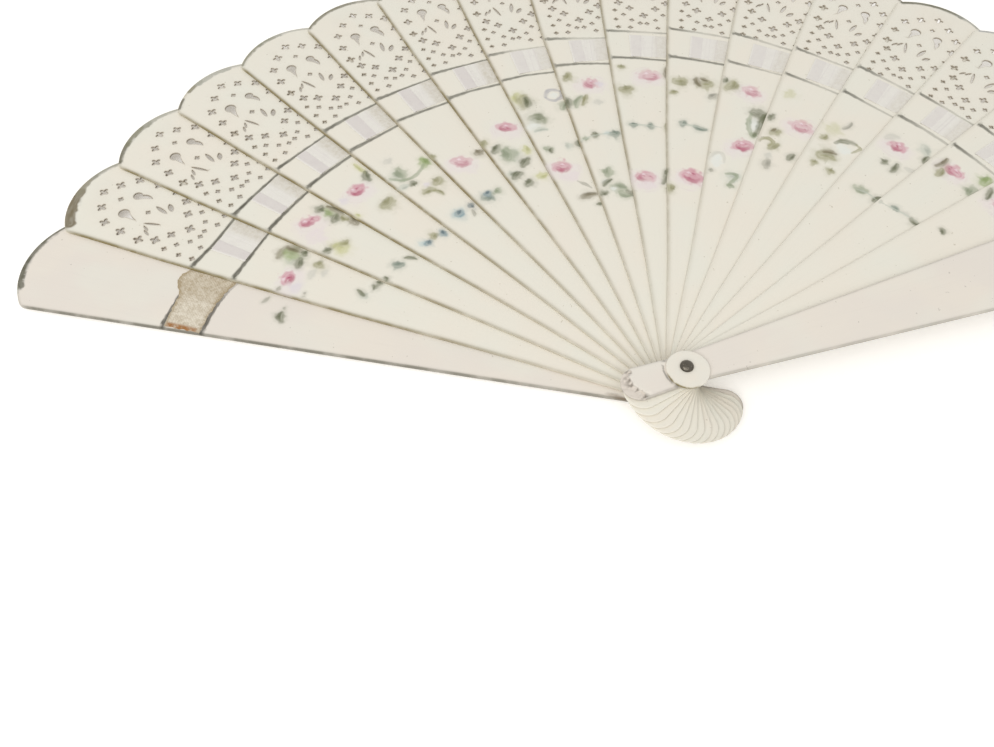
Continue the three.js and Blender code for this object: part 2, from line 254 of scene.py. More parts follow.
# Painted roses by stick: place, length, breadth, heading, and how strong the pink is.
ROSES = {
    2: ((-6.05, 112, 4.6, 4.2, 0, 1.0),), 3: ((-3.2, 117, 6.6, 3.2, -30, 0.9),),
    4: ((-3.1, 112.7, 5.6, 4.3, -5, 1.0),), 6: ((-4.6, 99, 6.4, 4.2, -38, 0.65),),
    7: ((-0.6, 104.5, 6, 3.9, -25, 0.85),), 8: ((-5.1, 81.8, 5.6, 5, -20, 0.85),),
    9: ((-1.8, 115.6, 5, 4.8, 0, 0.8),),
    10: ((0, 117.6, 6.6, 5.4, 0, 0.6), (-4.3, 72, 5.7, 4.8, 0, 0.9)),
    11: ((-1.4, 72.7, 7, 5.4, -10, 1.0),),
    12: ((-2.1, 114.3, 6, 4.5, -15, 0.65), (-0.3, 89, 6, 4.8, 20, 0.9)),
    13: ((0, 103.7, 6.6, 5.8, 0, 0.65),), 15: ((-4.8, 111.3, 5, 4.8, 0, 0.95),),
    16: ((-4.6, 113.9, 6, 4.6, 0, 0.9),), 17: ((-4, 113.4, 5.4, 4.2, 0, 0.85),),
}

# Thin painted outlines by stick: pigment, breadth and the points that the brush passes.
OUTLINES = {
    5: (("sage", 1.3, ((-10.2, 107.7), (-7.5, 104.5), (-4.3, 103.6), (-0.7, 104.5), (1.6, 105.9))),),
    8: (("pearl", 1.5, ((-0.4, 112.6), (0.4, 115.2), (2.8, 115.8), (4.9, 114.3))),
        ("pearl", 1.3, ((4.9, 114.3), (5, 111.4), (2.4, 110.4), (0.4, 111), (-0.4, 112.6))),
        ("grey", 1.1, ((-2.4, 75), (-0.6, 73.4), (0.8, 71.4)))),
    9: (("mist", 0.6, ((-10, 89.5), (-7.5, 91), (-4.7, 92), (-1.5, 92.2), (1.5, 91.8))),),
    10: (("mist", 0.6, ((-8, 94.4), (-5, 94.6), (-1.2, 94.1), (2, 93.6))),),
    11: (("mist", 0.6, ((-6.5, 94.8), (-3, 94.9), (0.5, 94.2))),),
    12: (("sage", 1.9, ((-0.2, 104), (-0.6, 100.5), (0.2, 96.5), (1.8, 94.2))),
         ("dark", 2.1, ((3.6, 104.5), (3.5, 101), (3.1, 97.5), (2.2, 94.6))),
         ("faint", 1.3, ((-9, 80), (-8, 83), (-6.4, 84), (-4.9, 82.6), (-4.4, 80))),
         ("sage", 1.3, ((-3, 75.5), (-1, 76.4), (0.8, 75.6), (-0.6, 73.4), (-1.5, 71)))),
    13: (("olive", 1.5, ((-9.8, 92), (-8.6, 94), (-6.8, 94), (-5.4, 92.6), (-6.6, 91))),),
    14: (("dark", 2.0, ((-4.2, 101.5), (-3, 103.6), (-0.9, 104.6), (1.4, 104.6))),
         ("olive", 1.1, ((1.4, 104.6), (3.6, 103.9), (2.4, 102), (1.8, 100.6)))),
    15: (("mist", 0.6, ((-4.6, 86.8), (-1, 88.2), (2.6, 87.4))),),
    16: (("mist", 0.6, ((-9.5, 86.4), (-6, 87.2), (-2, 88.6), (2.2, 88.9))),),
}

# The two brush lines beside the ribbon by stick: where each runs along the stick at its left end, just
# left of the middle, and at its right end.
BAND_LINES = {
    2: ((139.0, 138.0, 137.3), (126.2, 125.7, 125.2)), 3: ((137.5, 137.4, 136.7), (125.2, 125.1, 124.5)),
    4: ((137.4, 137.3, 136.6), (125.0, 124.9, 124.2)), 5: ((137.3, 137.2, 136.5), (125.1, 124.9, 124.2)),
    6: ((137.0, 137.0, 136.3), (124.9, 124.6, 123.6)), 7: ((137.1, 137.1, 136.4), (124.3, 124.5, 123.6)),
    8: ((137.2, 137.2, 136.5), (124.0, 124.3, 123.4)), 9: ((139.1, 138.6, 137.3), (125.4, 125.5, 124.2)),
    10: ((140.2, 140.0, 139.4), (126.4, 126.5, 125.3)), 11: ((141.0, 140.6, 139.8), (126.6, 126.5, 125.6)),
    12: ((141.6, 140.8, 139.0), (126.6, 126.4, 125.6)), 13: ((139.7, 139.0, 138.0), (125.7, 125.2, 123.8)),
    14: ((139.5, 138.6, 137.3), (125.3, 124.4, 122.9)), 15: ((137.6, 137.3, 136.6), (123.9, 123.8, 122.8)),
    16: ((137.1, 137.1, 136.3), (123.4, 123.6, 122.6)), 17: ((137.1, 137.1, 136.3), (123.4, 123.6, 122.6)),
}
# How far the ribbon and the cut pattern lie from their usual place along each stick.
BAND_SLIDE = {3: -0.5, 4: -0.6, 5: -0.7, 6: -0.9, 7: -0.8, 8: -0.7, 10: 0.8, 11: 0.9, 12: 0.9, 13: 0.2,
              14: -0.2, 15: -0.7, 16: -0.9, 17: -0.9}
FIELD_SLIDE = {8: 0.8, 9: 1.4, 10: 2.0, 11: 1.9, 12: 1.6, 13: 0.4, 14: -0.3, 15: -1.4, 16: -1.5,
               17: -1.5}
LEFT_FIELD_SLIDE = 0.2

# Painted edging of the tips by stick: from and to across the stick, half-width at both ends, screen
# colour and strength.
TIP_EDGING = {
    1: ((-9.6, 0, 1.0, 0.8, (80, 79, 57), 0.95), (-1, 13.4, 0.75, 0.5, (84, 82, 60), 0.92),
        (-10.9, -10.2, 0.3, 0.3, (150, 148, 128), 0.6), (-12, -11.5, 0.25, 0.25, (160, 158, 140), 0.5)),
    2: ((-12.8, -1, 1.65, 1.3, (112, 100, 72), 1.0), (-2, 6, 1.1, 0.7, (134, 127, 103), 0.9),
        (5, 13.2, 0.7, 0.55, (150, 148, 132), 0.85)),
    3: ((-14.2, -7, 0.6, 0.75, (98, 93, 72), 0.95), (-7.5, 3.5, 0.85, 1.05, (126, 123, 99), 0.92),
        (2.5, 13.2, 0.95, 0.5, (165, 163, 147), 0.8)),
    4: ((-14.2, -10.6, 0.5, 0.55, (98, 93, 72), 0.92), (-7, -1.5, 0.7, 0.8, (132, 126, 98), 0.9),
        (-2.5, 9, 1.05, 0.9, (172, 171, 157), 0.85), (8, 13.2, 0.7, 0.45, (180, 178, 165), 0.75)),
    5: ((-14.6, -4, 0.55, 0.65, (140, 137, 116), 0.9), (-5, 3.5, 0.65, 0.7, (142, 141, 121), 0.9),
        (2.5, 13.2, 0.6, 0.4, (180, 178, 165), 0.75)),
    6: ((-14.4, 5, 0.6, 0.75, (120, 115, 92), 0.92), (4, 13.2, 0.7, 0.5, (150, 147, 130), 0.85)),
    14: ((-14.4, 5, 0.7, 0.85, (98, 96, 72), 0.95), (4, 13, 0.7, 0.4, (150, 150, 138), 0.8)),
    15: ((-14.4, 13.2, 0.5, 0.5, (165, 165, 162), 0.85),),
}
PLAIN_EDGING = ((-14.2, 13.2, 0.62, 0.5, (120, 117, 95), 0.9),)

# How far a stick's sides bow out from straight lines, by distance from the rivet's axis.
SIDE_BOW = ((0, 0.0), (40, -0.25), (62, 0.0), (90, 0.5), (118, 0.6), (150, 0.5), (165, 0.15), (174, 0.0))

# How strongly the edges are stained: by inner stick, and on the two guards.
STICK_STAIN = ((7, 1.0), (11, 0.7), (12.5, 0.22), (LAST_STICK, 0.1))
GUARD_STAIN = {BACK_GUARD: 0.95, FRONT_GUARD: 0.5}
# How the stain of the edges fades on the front: distance from the rim and strength.
STICK_FADE = ((0.25, 0.85), (0.6, 0.45), (1.0, 0.12), (1.6, 0.0))
GUARD_FADE = ((0.12, 0.6), (0.4, 0.15), (0.8, 0.0))

# Mesh of a stick: steps along its outline and, as a share of them, on its rounds; the bevel and the ring
# of points round each hole, and the space kept free beside it; the rim's slope as a share of its
# rounding; the insets of the back's and of the paint's points; and the spacing of the unpainted ones.
OUTLINE_STEP = 1.1
FINER_STEP = 0.4
HOLE_RIM = 0.05
HOLE_RING = 0.34
HOLE_CLEARANCE = 0.26
RIM_SLOPE = 0.29
BACK_INSET = 0.6
PAINT_INSET = 1.4
COARSE_PITCH = 2.4
# Stain of the outline's rim at the front and at the back, and the grime and painted shade of a hole's ring,
# rim, wall and back.
FRONT_STAIN = 0.92
BACK_STAIN = 0.5
RING_GRIME_AND_SHADE = 0.04
RIM_GRIME_AND_SHADE = 0.62
WALL_GRIME_AND_SHADE = 0.9
BACK_GRIME_AND_SHADE = 0.7
# Edges that turn by more than this stay sharp in the shading.
SHARP_EDGE = math.radians(38)

# Numbers that stir the corner of a noise cell into a chance value.
STIR_ACROSS = 127.1
STIR_ALONG = 311.7
STIR_SEED = 74.7
STIR_GAIN = 43758.5453

# Cut pattern of a stick, as places across and along it. All but the middle ones are cut on both sides.
RING_CROSSES = ((0.2, 178.4), (4.9, 175.4), (9.1, 171.2), (9.9, 164.8), (10.2, 158.4), (8.2, 153.8),
                (4.4, 150.7), (0.0, 146.8))
SMALL_CROSSES = ((0.3, 172.1), (-0.4, 161.8), (9.6, 149.5), (6.8, 147.2), (9.4, 144.5), (4.0, 144.3),
                 (1.2, 142.7), (8.9, 140.5), (4.7, 140.3))
# Reach and waist of the crosses.
RING_CROSS = (1.45, 0.42)
SMALL_CROSS = (0.8, 0.43)
# Slender cuts: place, length, breadth and heading in degrees.
LEAF_CUTS = ((-3.4, 158.0, 5.2, 0.65, 106), (-5.6, 158.7, 2.4, 0.55, 62), (-7.0, 157.6, 2.4, 0.55, 62),
             (2.0, 158.5, 4.6, 1.05, 75), (4.3, 156.4, 3.0, 1.3, 48))
# Round cuts with a tail: place, radius, drop of the tail, fullness of the belly, and its side.
COMMA_CUTS = ((-3.9, 168.0, 1.6, 4.4, 0.7, -1), (3.7, 168.2, 1.35, 4.6, 1.5, 1))
# The pattern lies a little to the right on the left sticks, where it also slants about its middle, and
# to the left on the right ones.
SLANTED_UP_TO = 9
SHIFTED_FROM = 12
PATTERN_MIDDLE = 162
PATTERN_SLANT = 0.065
LEFT_SHIFT = 0.1
RIGHT_SHIFT = -0.7
# How much the cuts differ, as cut by hand: scale, shift, and turn in degrees.
HAND_SCALE = (0.92, 1.08)
HAND_SHIFT = 0.18
HAND_TURN = 14


# Shared values

def sizes_in_mm(context):
    """The fan's lengths in millimetres, and its angles as they are."""
    group = context.scene.fan_sizes
    values = {name: getattr(group, name) / MM for name in FanSizes.__annotations__}
    values["spread"] = group.spread
    values["pitch"] = group.spread / (FRONT_GUARD - BACK_GUARD)
    return SimpleNamespace(**values)


def stick_turn(size, stick):
    """Angle of a stick from the open fan's middle line, counter-clockwise."""
    return size.spread / 2 - (stick - BACK_GUARD) * size.pitch


def band_middle(size, stick):
    """Distance from the rivet's axis to the ribbon's middle on a stick."""
    return size.band_reach + BAND_SLIDE.get(min(stick, LAST_STICK), 0.0)


def is_guard(stick):
    """True for the two outer sticks."""
    return stick in (BACK_GUARD, FRONT_GUARD)


def node_name(stick):
    """CAD node of a stick or guard by its place in the fan."""
    return {BACK_GUARD: "back_guard", FRONT_GUARD: "front_guard"}.get(stick, "stick_%02d" % stick)


def heights(node):
    """Bottom and top of a CAD node in millimetres."""
    low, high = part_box(node)
    return low[2] / MM, high[2] / MM


# Noise and loops in the plane

def smooth_noise(points, pitch, seed):
    """Soft noise from 0 to 1 whose features are about one pitch wide."""
    cells = points / pitch
    base = np.floor(cells)
    part = cells - base
    part = part * part * (3 - 2 * part)

    def corner(right, up):
        mixed = (base[:, 0] + right) * STIR_ACROSS + (base[:, 1] + up) * STIR_ALONG + seed * STIR_SEED
        return np.modf(np.abs(np.sin(mixed)) * STIR_GAIN)[0]

    low = corner(0, 0) * (1 - part[:, 0]) + corner(1, 0) * part[:, 0]
    high = corner(0, 1) * (1 - part[:, 0]) + corner(1, 1) * part[:, 0]
    return low * (1 - part[:, 1]) + high * part[:, 1]


def ease(value):
    """Smooth step of values from 0 to 1."""
    value = np.clip(value, 0, 1)
    return value * value * (3 - 2 * value)


def direction(angle):
    """Unit vectors at an angle and a quarter turn further."""
    ahead = np.array([math.cos(angle), math.sin(angle)])
    return ahead, np.array([-ahead[1], ahead[0]])


def line(start, end, step):
    """Evenly spaced points from start up to, but without, end."""
    start = np.array(start, float)
    end = np.array(end, float)
    count = max(1, round(np.linalg.norm(end - start) / step))
    return start + (end - start) * (np.arange(count) / count)[:, None]


def arc(centre, radius, first, last, step):
    """Evenly spaced points on an arc from angle first up to, but without, last."""
    count = max(2, round(abs(last - first) * radius / step))
    angles = first + (last - first) * np.arange(count) / count
    return np.array(centre) + radius * np.column_stack([np.cos(angles), np.sin(angles)])


def loop_normals(loop):
    """Outward normals of a counter-clockwise loop."""
    along = np.roll(loop, -1, axis=0) - np.roll(loop, 1, axis=0)
    along /= np.linalg.norm(along, axis=1)[:, None]
    return np.column_stack([along[:, 1], -along[:, 0]])


def inside(points, loop):
    """True for each point inside a closed loop."""
    across, along = points.T
    found = np.zeros(len(points), bool)
    for (ax, ay), (bx, by) in zip(loop, np.roll(loop, -1, axis=0)):
        level = (ay > along) != (by > along)
        if level.any():
            found[level] ^= across[level] < (bx - ax) * (along[level] - ay) / (by - ay) + ax
    return found


def near_box(points, loop, gap):
    """Indices of the points in a loop's box, widened by a gap."""
    above = points > loop.min(axis=0) - gap
    below = points < loop.max(axis=0) + gap
    return np.flatnonzero((above & below).all(axis=1))


def clear_of(points, holes, gap):
    """True for each point that lies outside every hole and is not close to one."""
    clear = np.ones(len(points), bool)
    for hole in holes:
        near = near_box(points, hole, gap)
        apart = np.linalg.norm(points[near][:, None] - hole[None], axis=2).min(axis=1)
        clear[near[inside(points[near], hole) | (apart < gap)]] = False
    return clear


# Outline of a stick

def tip_round(size):
    """Centre height and radius of the tip's arc."""
    half = size.tip_width / 2
    radius = (half ** 2 + size.tip_rise ** 2) / (2 * size.tip_rise)
    return size.tip_reach - radius, radius


def half_width(size, along):
    """Half of a stick's width at a distance from the rivet's axis."""
    slope = (size.tip_width - size.pivot_width) / 2 / (size.tip_reach - size.tip_rise)
    return size.pivot_width / 2 + slope * along


def stick_outline(size, step, bowed_sides):
    """Counter-clockwise outline of a stick or guard, with finer steps on its rounds."""
    fine = step * FINER_STEP
    foot = np.array([size.pivot_width / 2, 0.0])
    side = np.array([(size.tip_width - size.pivot_width) / 2, size.tip_reach - size.tip_rise])
    side /= np.linalg.norm(side)
    inward = np.array([-side[1], side[0]])
    rise, radius = tip_round(size)
    centre = np.array([0.0, rise])

    # The corner's centre is one corner radius inside both the side and the tip's arc.
    start = foot + inward * size.tip_corner - centre
    middle = start @ side
    reach = radius - size.tip_corner
    run = -middle + math.sqrt(middle ** 2 - start @ start + reach ** 2)
    corner = centre + start + side * run
    side_angle = math.atan2(-inward[1], -inward[0])
    tip_angle = math.atan2(*(corner - centre)[::-1])

    tail_radius = size.tail_width / 2
    tail_centre = np.array([0.0, tail_radius - size.tail_reach])
    tail_right = tail_centre + (tail_radius, 0)
    corner_side = corner + size.tip_corner * direction(side_angle)[0]
    flank = line(foot, corner_side, step)
    if bowed_sides:
        flank[:, 0] += np.interp(flank[:, 1], *zip(*SIDE_BOW))
    right = np.vstack([
        line(tail_right, foot, step),
        flank,
        arc(corner, size.tip_corner, side_angle, tip_angle, fine),
        arc(centre, radius, tip_angle, math.pi / 2, fine),
    ])
    top = np.array([[0.0, size.tip_reach]])
    left = (right * (-1, 1))[::-1]
    tail = arc(tail_centre, tail_radius, math.pi, 2 * math.pi, fine)[1:]
    return np.vstack([right, top, left, tail])


def edge_strength(size, stick, outline):
    """How strongly the edge is stained at each point: most on the left sticks, little at the tails."""
    across, along = outline.T
    weight = GUARD_STAIN.get(stick, np.interp(stick, *zip(*STICK_STAIN)))
    open_side = 1 if stick == FRONT_GUARD else -1
    least = 0.85 if is_guard(stick) else 0.3
    faded = 0.6
    covered = 0.6
    grown = least + (1 - least) * ease((along - 5) / 95)
    at_tip = 1 - faded * ease((along - size.tip_reach + 10) / 4)
    at_tail = 1.0 if is_guard(stick) else 1 - faded * ease((-along - 2) / 6)
    return weight * grown * at_tip * at_tail * np.where(across * open_side > 0, 1.0, covered)


# Piercings

def petal_cross(reach, waist, turn):
    """Loop of a small four-petalled cross."""
    corners = 28
    pinch = 1.3
    angles = np.arange(corners) / corners * 2 * math.pi
    radius = waist + (reach - waist) * np.abs(np.cos(2 * angles)) ** pinch
    return radius[:, None] * np.column_stack([np.cos(angles + turn), np.sin(angles + turn)])


def round_dot(radius):
    """Loop of a drilled dot."""
    corners = 14
    return arc((0, 0), radius, 0, 2 * math.pi, radius * 2 * math.pi / corners)


def leaf_cut(reach, girth, turn):
    """Loop of a slender cut with pointed ends."""
    corners = 10
    bluntness = 0.7
    share = np.arange(corners) / corners
    upper = np.column_stack([reach / 2 - reach * share, girth / 2 * np.sin(math.pi * share) ** bluntness])
    loop = np.vstack([upper, -upper])
    return loop @ np.array(direction(turn))


def comma_cut(radius, drop, belly, side):
    """Loop of a round cut with a tail towards the rivet; side 1 has its belly on the right."""
    opening = math.radians(-50)
    closing = math.radians(215)
    step = 0.34
    head = arc((0, 0), radius, opening, closing, step)
    share = np.linspace(0, 1, 7)[:, None]
    tail = np.array([0.55 * radius, -drop])
    start = radius * direction(closing)[0]
    inner = np.array([0.1 * radius, -0.45 * drop])
    outer = np.array([belly * radius, -0.6 * drop])
    down = (1 - share) ** 2 * start + 2 * share * (1 - share) * inner + share ** 2 * tail
    up = (1 - share) ** 2 * tail + 2 * share * (1 - share) * outer + share ** 2 * head[0]
    loop = np.vstack([head, down[:-1], up[:-1]])
    return loop if side > 0 else (loop * (-1, 1))[::-1]


def pattern_lean(stick, along):
    """How far the cut pattern lies to the right of its usual place."""
    if stick < SLANTED_UP_TO:
        return PATTERN_SLANT * (along - PATTERN_MIDDLE) + LEFT_SHIFT
    return LEFT_SHIFT if stick < SHIFTED_FROM else RIGHT_SHIFT


def piercings(stick):
    """Loops of the cut pattern on one stick, each a little different, as cut by hand."""
    drawn = np.random.default_rng(stick)
    loops = []

    def cut(loop, across, along):
        slide = FIELD_SLIDE.get(stick, LEFT_FIELD_SLIDE)
        place = (across + pattern_lean(stick, along), along + slide)
        scaled = loop * drawn.uniform(*HAND_SCALE)
        loops.append(scaled + place + drawn.uniform(-HAND_SHIFT, HAND_SHIFT, 2))

    def cut_crosses(places, reach, waist):
        for across, along in places:
            for side in (1,) if abs(across) < 1 else (1, -1):
                turn = math.radians(drawn.uniform(-HAND_TURN, HAND_TURN))
                cut(petal_cross(reach, waist, turn), side * across, along)

    cut_crosses(RING_CROSSES, *RING_CROSS)
    cut_crosses(SMALL_CROSSES, *SMALL_CROSS)
    for across, along, reach, girth, heading in LEAF_CUTS:
        cut(leaf_cut(reach, girth, math.radians(heading)), across, along)
    for across, along, radius, drop, belly, side in COMMA_CUTS:
        cut(comma_cut(radius, drop, belly, side), across, along)
    return loops


def ribbon_slit(size, stick):
    """Loop of the slit that the ribbon comes through."""
    half = size.slit_width / 2
    end_gap = 0.2
    reach = size.ribbon_width / 2 + end_gap
    shape = [
        arc((0, reach - half), half, 0, math.pi, 0.25),
        line((-half, reach - half), (-half, half - reach), 1.0),
        arc((0, half - reach), half, math.pi, 2 * math.pi, 0.25),
        line((half, half - reach), (half, reach - half), 1.0),
    ]
    return np.vstack(shape) + (-size.slit_offset, band_middle(size, stick))


# Brush marks

class Stroke:
    """One brush mark: a path with half-widths and strengths spread evenly along it, and a colour."""

    least_edge = 0.06
    waver_pitch = 1.1
    bristle_run = 1.6
    bristle_width = 0.3

    def __init__(self, path, half, tint, strength=0.9, soft=0.5, streak=0.3, seed=0, ragged=0.25):
        self.path = np.array(path, float)
        self.spans = np.linalg.norm(np.diff(self.path, axis=0), axis=1)
        self.run = np.concatenate([[0.0], np.cumsum(self.spans)])
        self.half = np.atleast_1d(np.array(half, float))
        self.strength = np.atleast_1d(np.array(strength, float))
        self.tint = np.array(tint, float)
        self.soft = soft
        self.streak = streak
        self.seed = seed
        self.ragged = ragged
        self.margin = self.half.max() * (1 + soft) * (1 + ragged) + 0.1

    def picked(self, points, extra=0.0):
        """Indices of the points in the stroke's box."""
        return near_box(points, self.path, self.margin + extra)

    def measure(self, points):
        """Run along the path, distance from it and side for each point."""
        start = self.path[:-1]
        along = self.path[1:] - start
        offset = points[:, None] - start[None]
        share = np.clip((offset * along).sum(axis=2) / (along * along).sum(axis=1), 0, 1)
        gap = offset - share[..., None] * along
        distance = np.sqrt((gap * gap).sum(axis=2))
        nearest = distance.argmin(axis=1)
        rows = np.arange(len(points))
        run = self.run[nearest] + share[rows, nearest] * self.spans[nearest]
        turn = along[nearest, 0] * offset[rows, nearest, 1] - along[nearest, 1] * offset[rows, nearest, 0]
        return run, distance[rows, nearest], np.sign(turn)

    def spread(self, values, run):
        """Values along the stroke at each run."""
        return np.interp(run / self.run[-1], np.linspace(0, 1, len(values)), values)

    def amount(self, points):
        """How much paint lies on each point, from 0 to 1."""
        run, distance, side = self.measure(points)
        half = self.spread(self.half, run)
        edge = np.maximum(half * self.soft, self.least_edge)
        wavy = 1 + self.ragged * (2 * smooth_noise(points, self.waver_pitch, self.seed + 9) - 1)
        cover = ease((half + edge * 0.5 - distance * wavy) / edge)
        bristles = np.column_stack([run / self.bristle_run, distance * side / self.bristle_width])
        streaks = smooth_noise(bristles, 1.0, self.seed + 3)
        return cover * self.spread(self.strength, run) * (1 - self.streak * streaks)


def bowed(centre, reach, heading, bow=0.0, count=7):
    """Path of a given reach through a point, bowed sideways by a share of its reach."""
    share = np.linspace(-0.5, 0.5, count)
    ahead, aside = direction(heading)
    lift = bow * reach * (0.25 - share ** 2) * 4
    return np.array(centre) + np.outer(share * reach, ahead) + np.outer(lift, aside)


def rounded(path):
    """A path with its corners cut off twice, so that it runs smoothly."""
    path = np.array(path, float)
    for _ in range(2):
        early = 0.75 * path[:-1] + 0.25 * path[1:]
        late = 0.25 * path[:-1] + 0.75 * path[1:]
        between = np.stack([early, late], axis=1).reshape(-1, 2)
        path = np.vstack([path[:1], between, path[-1:]])
    return path


def ring_path(centre, half_long, half_short, heading, first, last, count=12):
    """Path along part of an ellipse, angles in degrees."""
    angles = np.radians(np.linspace(first, last, count))
    ahead, aside = direction(heading)
    forward = np.outer(half_long * np.cos(angles), ahead)
    sideways = np.outer(half_short * np.sin(angles), aside)
    return np.array(centre) + forward + sideways


def paint_leaf(hue, pigment, across, along, reach, breadth, heading, seed):
    """A leaf or dab: a watery wash and its body, and on deeper pigments a dark and a light side."""
    drawn = np.random.default_rng(seed)
    tint = np.array(srgb(*PIGMENTS[pigment]))
    wash = 0.45 * tint + 0.55 * np.array(hue.ivory)
    aim = math.radians(heading)
    spine = max(reach - breadth * 0.7, reach * 0.3)
    path = bowed((across, along), spine, aim, drawn.uniform(-0.15, 0.15))
    taper = breadth * 0.52 * np.array([0.66, 1.0, 1.0, 0.92, 0.56])
    marks = [
        Stroke(path, taper * 1.5 + 0.3, wash, 0.5, soft=1.3, streak=0.25, seed=seed),
        Stroke(path, taper, tint, [0.7, 0.9, 0.8], soft=1.0, streak=0.45, seed=seed + 1, ragged=0.32),
    ]
    if pigment not in PALE_PIGMENTS and breadth > 1.2:
        _, aside = direction(aim)
        lean = aside * breadth * 0.2 * drawn.choice((-1, 1))
        dry = {"soft": 1.0, "streak": 0.5, "ragged": 0.3}
        marks.append(Stroke(path + lean, taper * 0.5, tint * 0.7, [0.2, 0.7, 0.5], seed=seed + 2, **dry))
        marks.append(Stroke(path - lean * 1.5, taper * 0.4, wash, [0.2, 0.5, 0.3], seed=seed + 4, **dry))
    return marks


def paint_rose(hue, across, along, reach, breadth, heading, strength, seed):
    """A rose from the side: a pale halo of petals, a streaky pink cup, a deep underside and a light."""
    drawn = np.random.default_rng(seed)
    centre = np.array([across, along])
    skirt = centre + (-0.4, -1.2)
    aim = math.radians(heading)
    marks = [Stroke(bowed(skirt, 4.2, aim), 3.2, hue.rose_halo, 0.55, soft=1.1, streak=0.15, seed=seed)]
    for k in range(6):
        first = drawn.uniform(0, 360)
        far = breadth * drawn.uniform(0.7, 1.0)
        path = ring_path(skirt, far * 1.25, far, aim, first, first + drawn.uniform(45, 80))
        petal = Stroke(path, [0.2, 0.7, 0.25], hue.silk, [0.1, 0.35, 0.1], soft=1.0, seed=seed + k)
        edge = Stroke(path, [0.1, 0.22, 0.1], hue.rose_soft, [0.0, 0.1, 0.0], soft=1.0, seed=seed + k + 6)
        marks += [petal, edge]
    pink = np.array([0.7, 0.9, 0.8]) * strength
    deep = np.array([0.4, 0.9, 0.85, 0.4]) * strength
    full = breadth / 2 * np.array([0.75, 1.0, 1.0, 0.75])
    cup = bowed(centre, reach - breadth * 0.6, aim, 0.06)
    marks.append(Stroke(cup, full, hue.rose_soft, pink, soft=0.7, streak=0.45, seed=seed + 12, ragged=0.35))
    first = drawn.uniform(130, 230)
    under = ring_path(centre, reach * 0.32, breadth * 0.3, aim, first, first + drawn.uniform(150, 190))
    marks.append(Stroke(under, [0.3, 0.75, 0.8, 0.35], hue.rose_deep, deep,
                        soft=1.0, streak=0.5, seed=seed + 13, ragged=0.4))
    ahead, aside = direction(aim)
    for k in range(3):
        forward = ahead * drawn.uniform(-0.25, 0.25) * reach
        heart = centre + forward + aside * drawn.uniform(-0.15, 0.25) * breadth
        streak = bowed(heart, drawn.uniform(0.8, 1.8), aim + drawn.uniform(-0.9, 0.3), 0.15)
        marks.append(Stroke(streak, [0.12, 0.3, 0.15], hue.rose_deep, deep * 0.8,
                            soft=1.0, streak=0.5, seed=seed + 14 + k))
    shine = centre + aside * 0.2 * breadth - ahead * drawn.uniform(-0.1, 0.2) * reach
    light = bowed(shine, 1.1, aim, 0.15)
    marks.append(Stroke(light, [0.2, 0.5, 0.25], hue.rose_light, [0.4, 0.75, 0.5],
                        soft=0.9, streak=0.2, seed=seed + 18))
    return marks


def garland_marks(hue, stick):
    """Brush marks of the roses and leaves on one stick."""
    marks = []
    for count, rose in enumerate(ROSES.get(stick, ())):
        marks += paint_rose(hue, *rose, stick * 100 + count * 31)
    for count, leaf in enumerate(LEAVES.get(stick, ())):
        marks += paint_leaf(hue, *leaf, stick * 100 + count * 7 + 3)
    for count, (pigment, breadth, path) in enumerate(OUTLINES.get(stick, ())):
        tint = srgb(*PIGMENTS[pigment])
        half = breadth / 2 * np.array([0.6, 1.0, 0.9, 0.6])
        marks.append(Stroke(rounded(path), half, tint, [0.6, 0.85, 0.8, 0.6],
                            soft=0.9, streak=0.4, seed=stick * 50 + count, ragged=0.35))
    return marks


def band_marks(size, hue, stick):
    """The two brush lines beside the ribbon: dark where the brush lands, thinner and worn to the right."""
    drawn = np.random.default_rng(500 + stick)
    bold = np.interp(stick, (3, 5, 8, LAST_STICK), (1.0, 0.84, 0.76, 0.86))
    even = np.array([0.98, 0.96, 0.94, 0.92, 0.9, 0.86])
    worn = (np.array([0.97, 0.8, 0.4, 0.32, 0.4, 0.6]), np.array([0.97, 0.8, 0.48, 0.4, 0.4, 0.45]))
    turn = -4
    last = 8.5
    corners = 14
    marks = []
    for order, (left, middle, right) in enumerate(BAND_LINES[stick]):
        first = 0.7 - half_width(size, left)
        across = np.linspace(first, last, corners)
        sway = drawn.uniform(-0.2, 0.2) * np.sin(np.linspace(0, math.pi, corners))
        along = np.interp(across, (first, turn, last), (left, middle, right))
        path = np.column_stack([across, along + sway])
        half = np.array([0.66, 0.54, 0.46, 0.43, 0.41, 0.38]) * drawn.uniform(0.9, 1.12)
        strength = bold * (worn[order] if stick > (7, 11)[order] else even)
        marks.append(Stroke(path, half + 0.15, hue.faded_line, strength * 0.5, soft=0.8, seed=stick * 9))
        marks.append(Stroke(path, half, hue.brush_line_and_shade, strength, soft=0.7, seed=stick * 9 + order))
    return marks


def tip_marks(size, stick):
    """The painted edging of a stick's tip."""
    rise, radius = tip_round(size)
    marks = []
    edging = TIP_EDGING.get(stick, PLAIN_EDGING)
    for count, (first, last, start, end, tint, strength) in enumerate(edging):
        across = np.linspace(first, last, max(3, round((last - first) / 0.9)))
        half = np.linspace(start, end, len(across))
        reach = radius - half + 0.15
        path = np.column_stack([across, rise + np.sqrt(reach ** 2 - across ** 2)])
        pale = 0.5 * np.array(srgb(*tint)) + 0.3
        seed = stick * 11 + count
        marks.append(Stroke(path, half + 0.12, pale, strength * 0.5, soft=0.7, seed=seed))
        marks.append(Stroke(path, half, srgb(*tint), strength, soft=0.4, seed=seed + 5))
    return marks


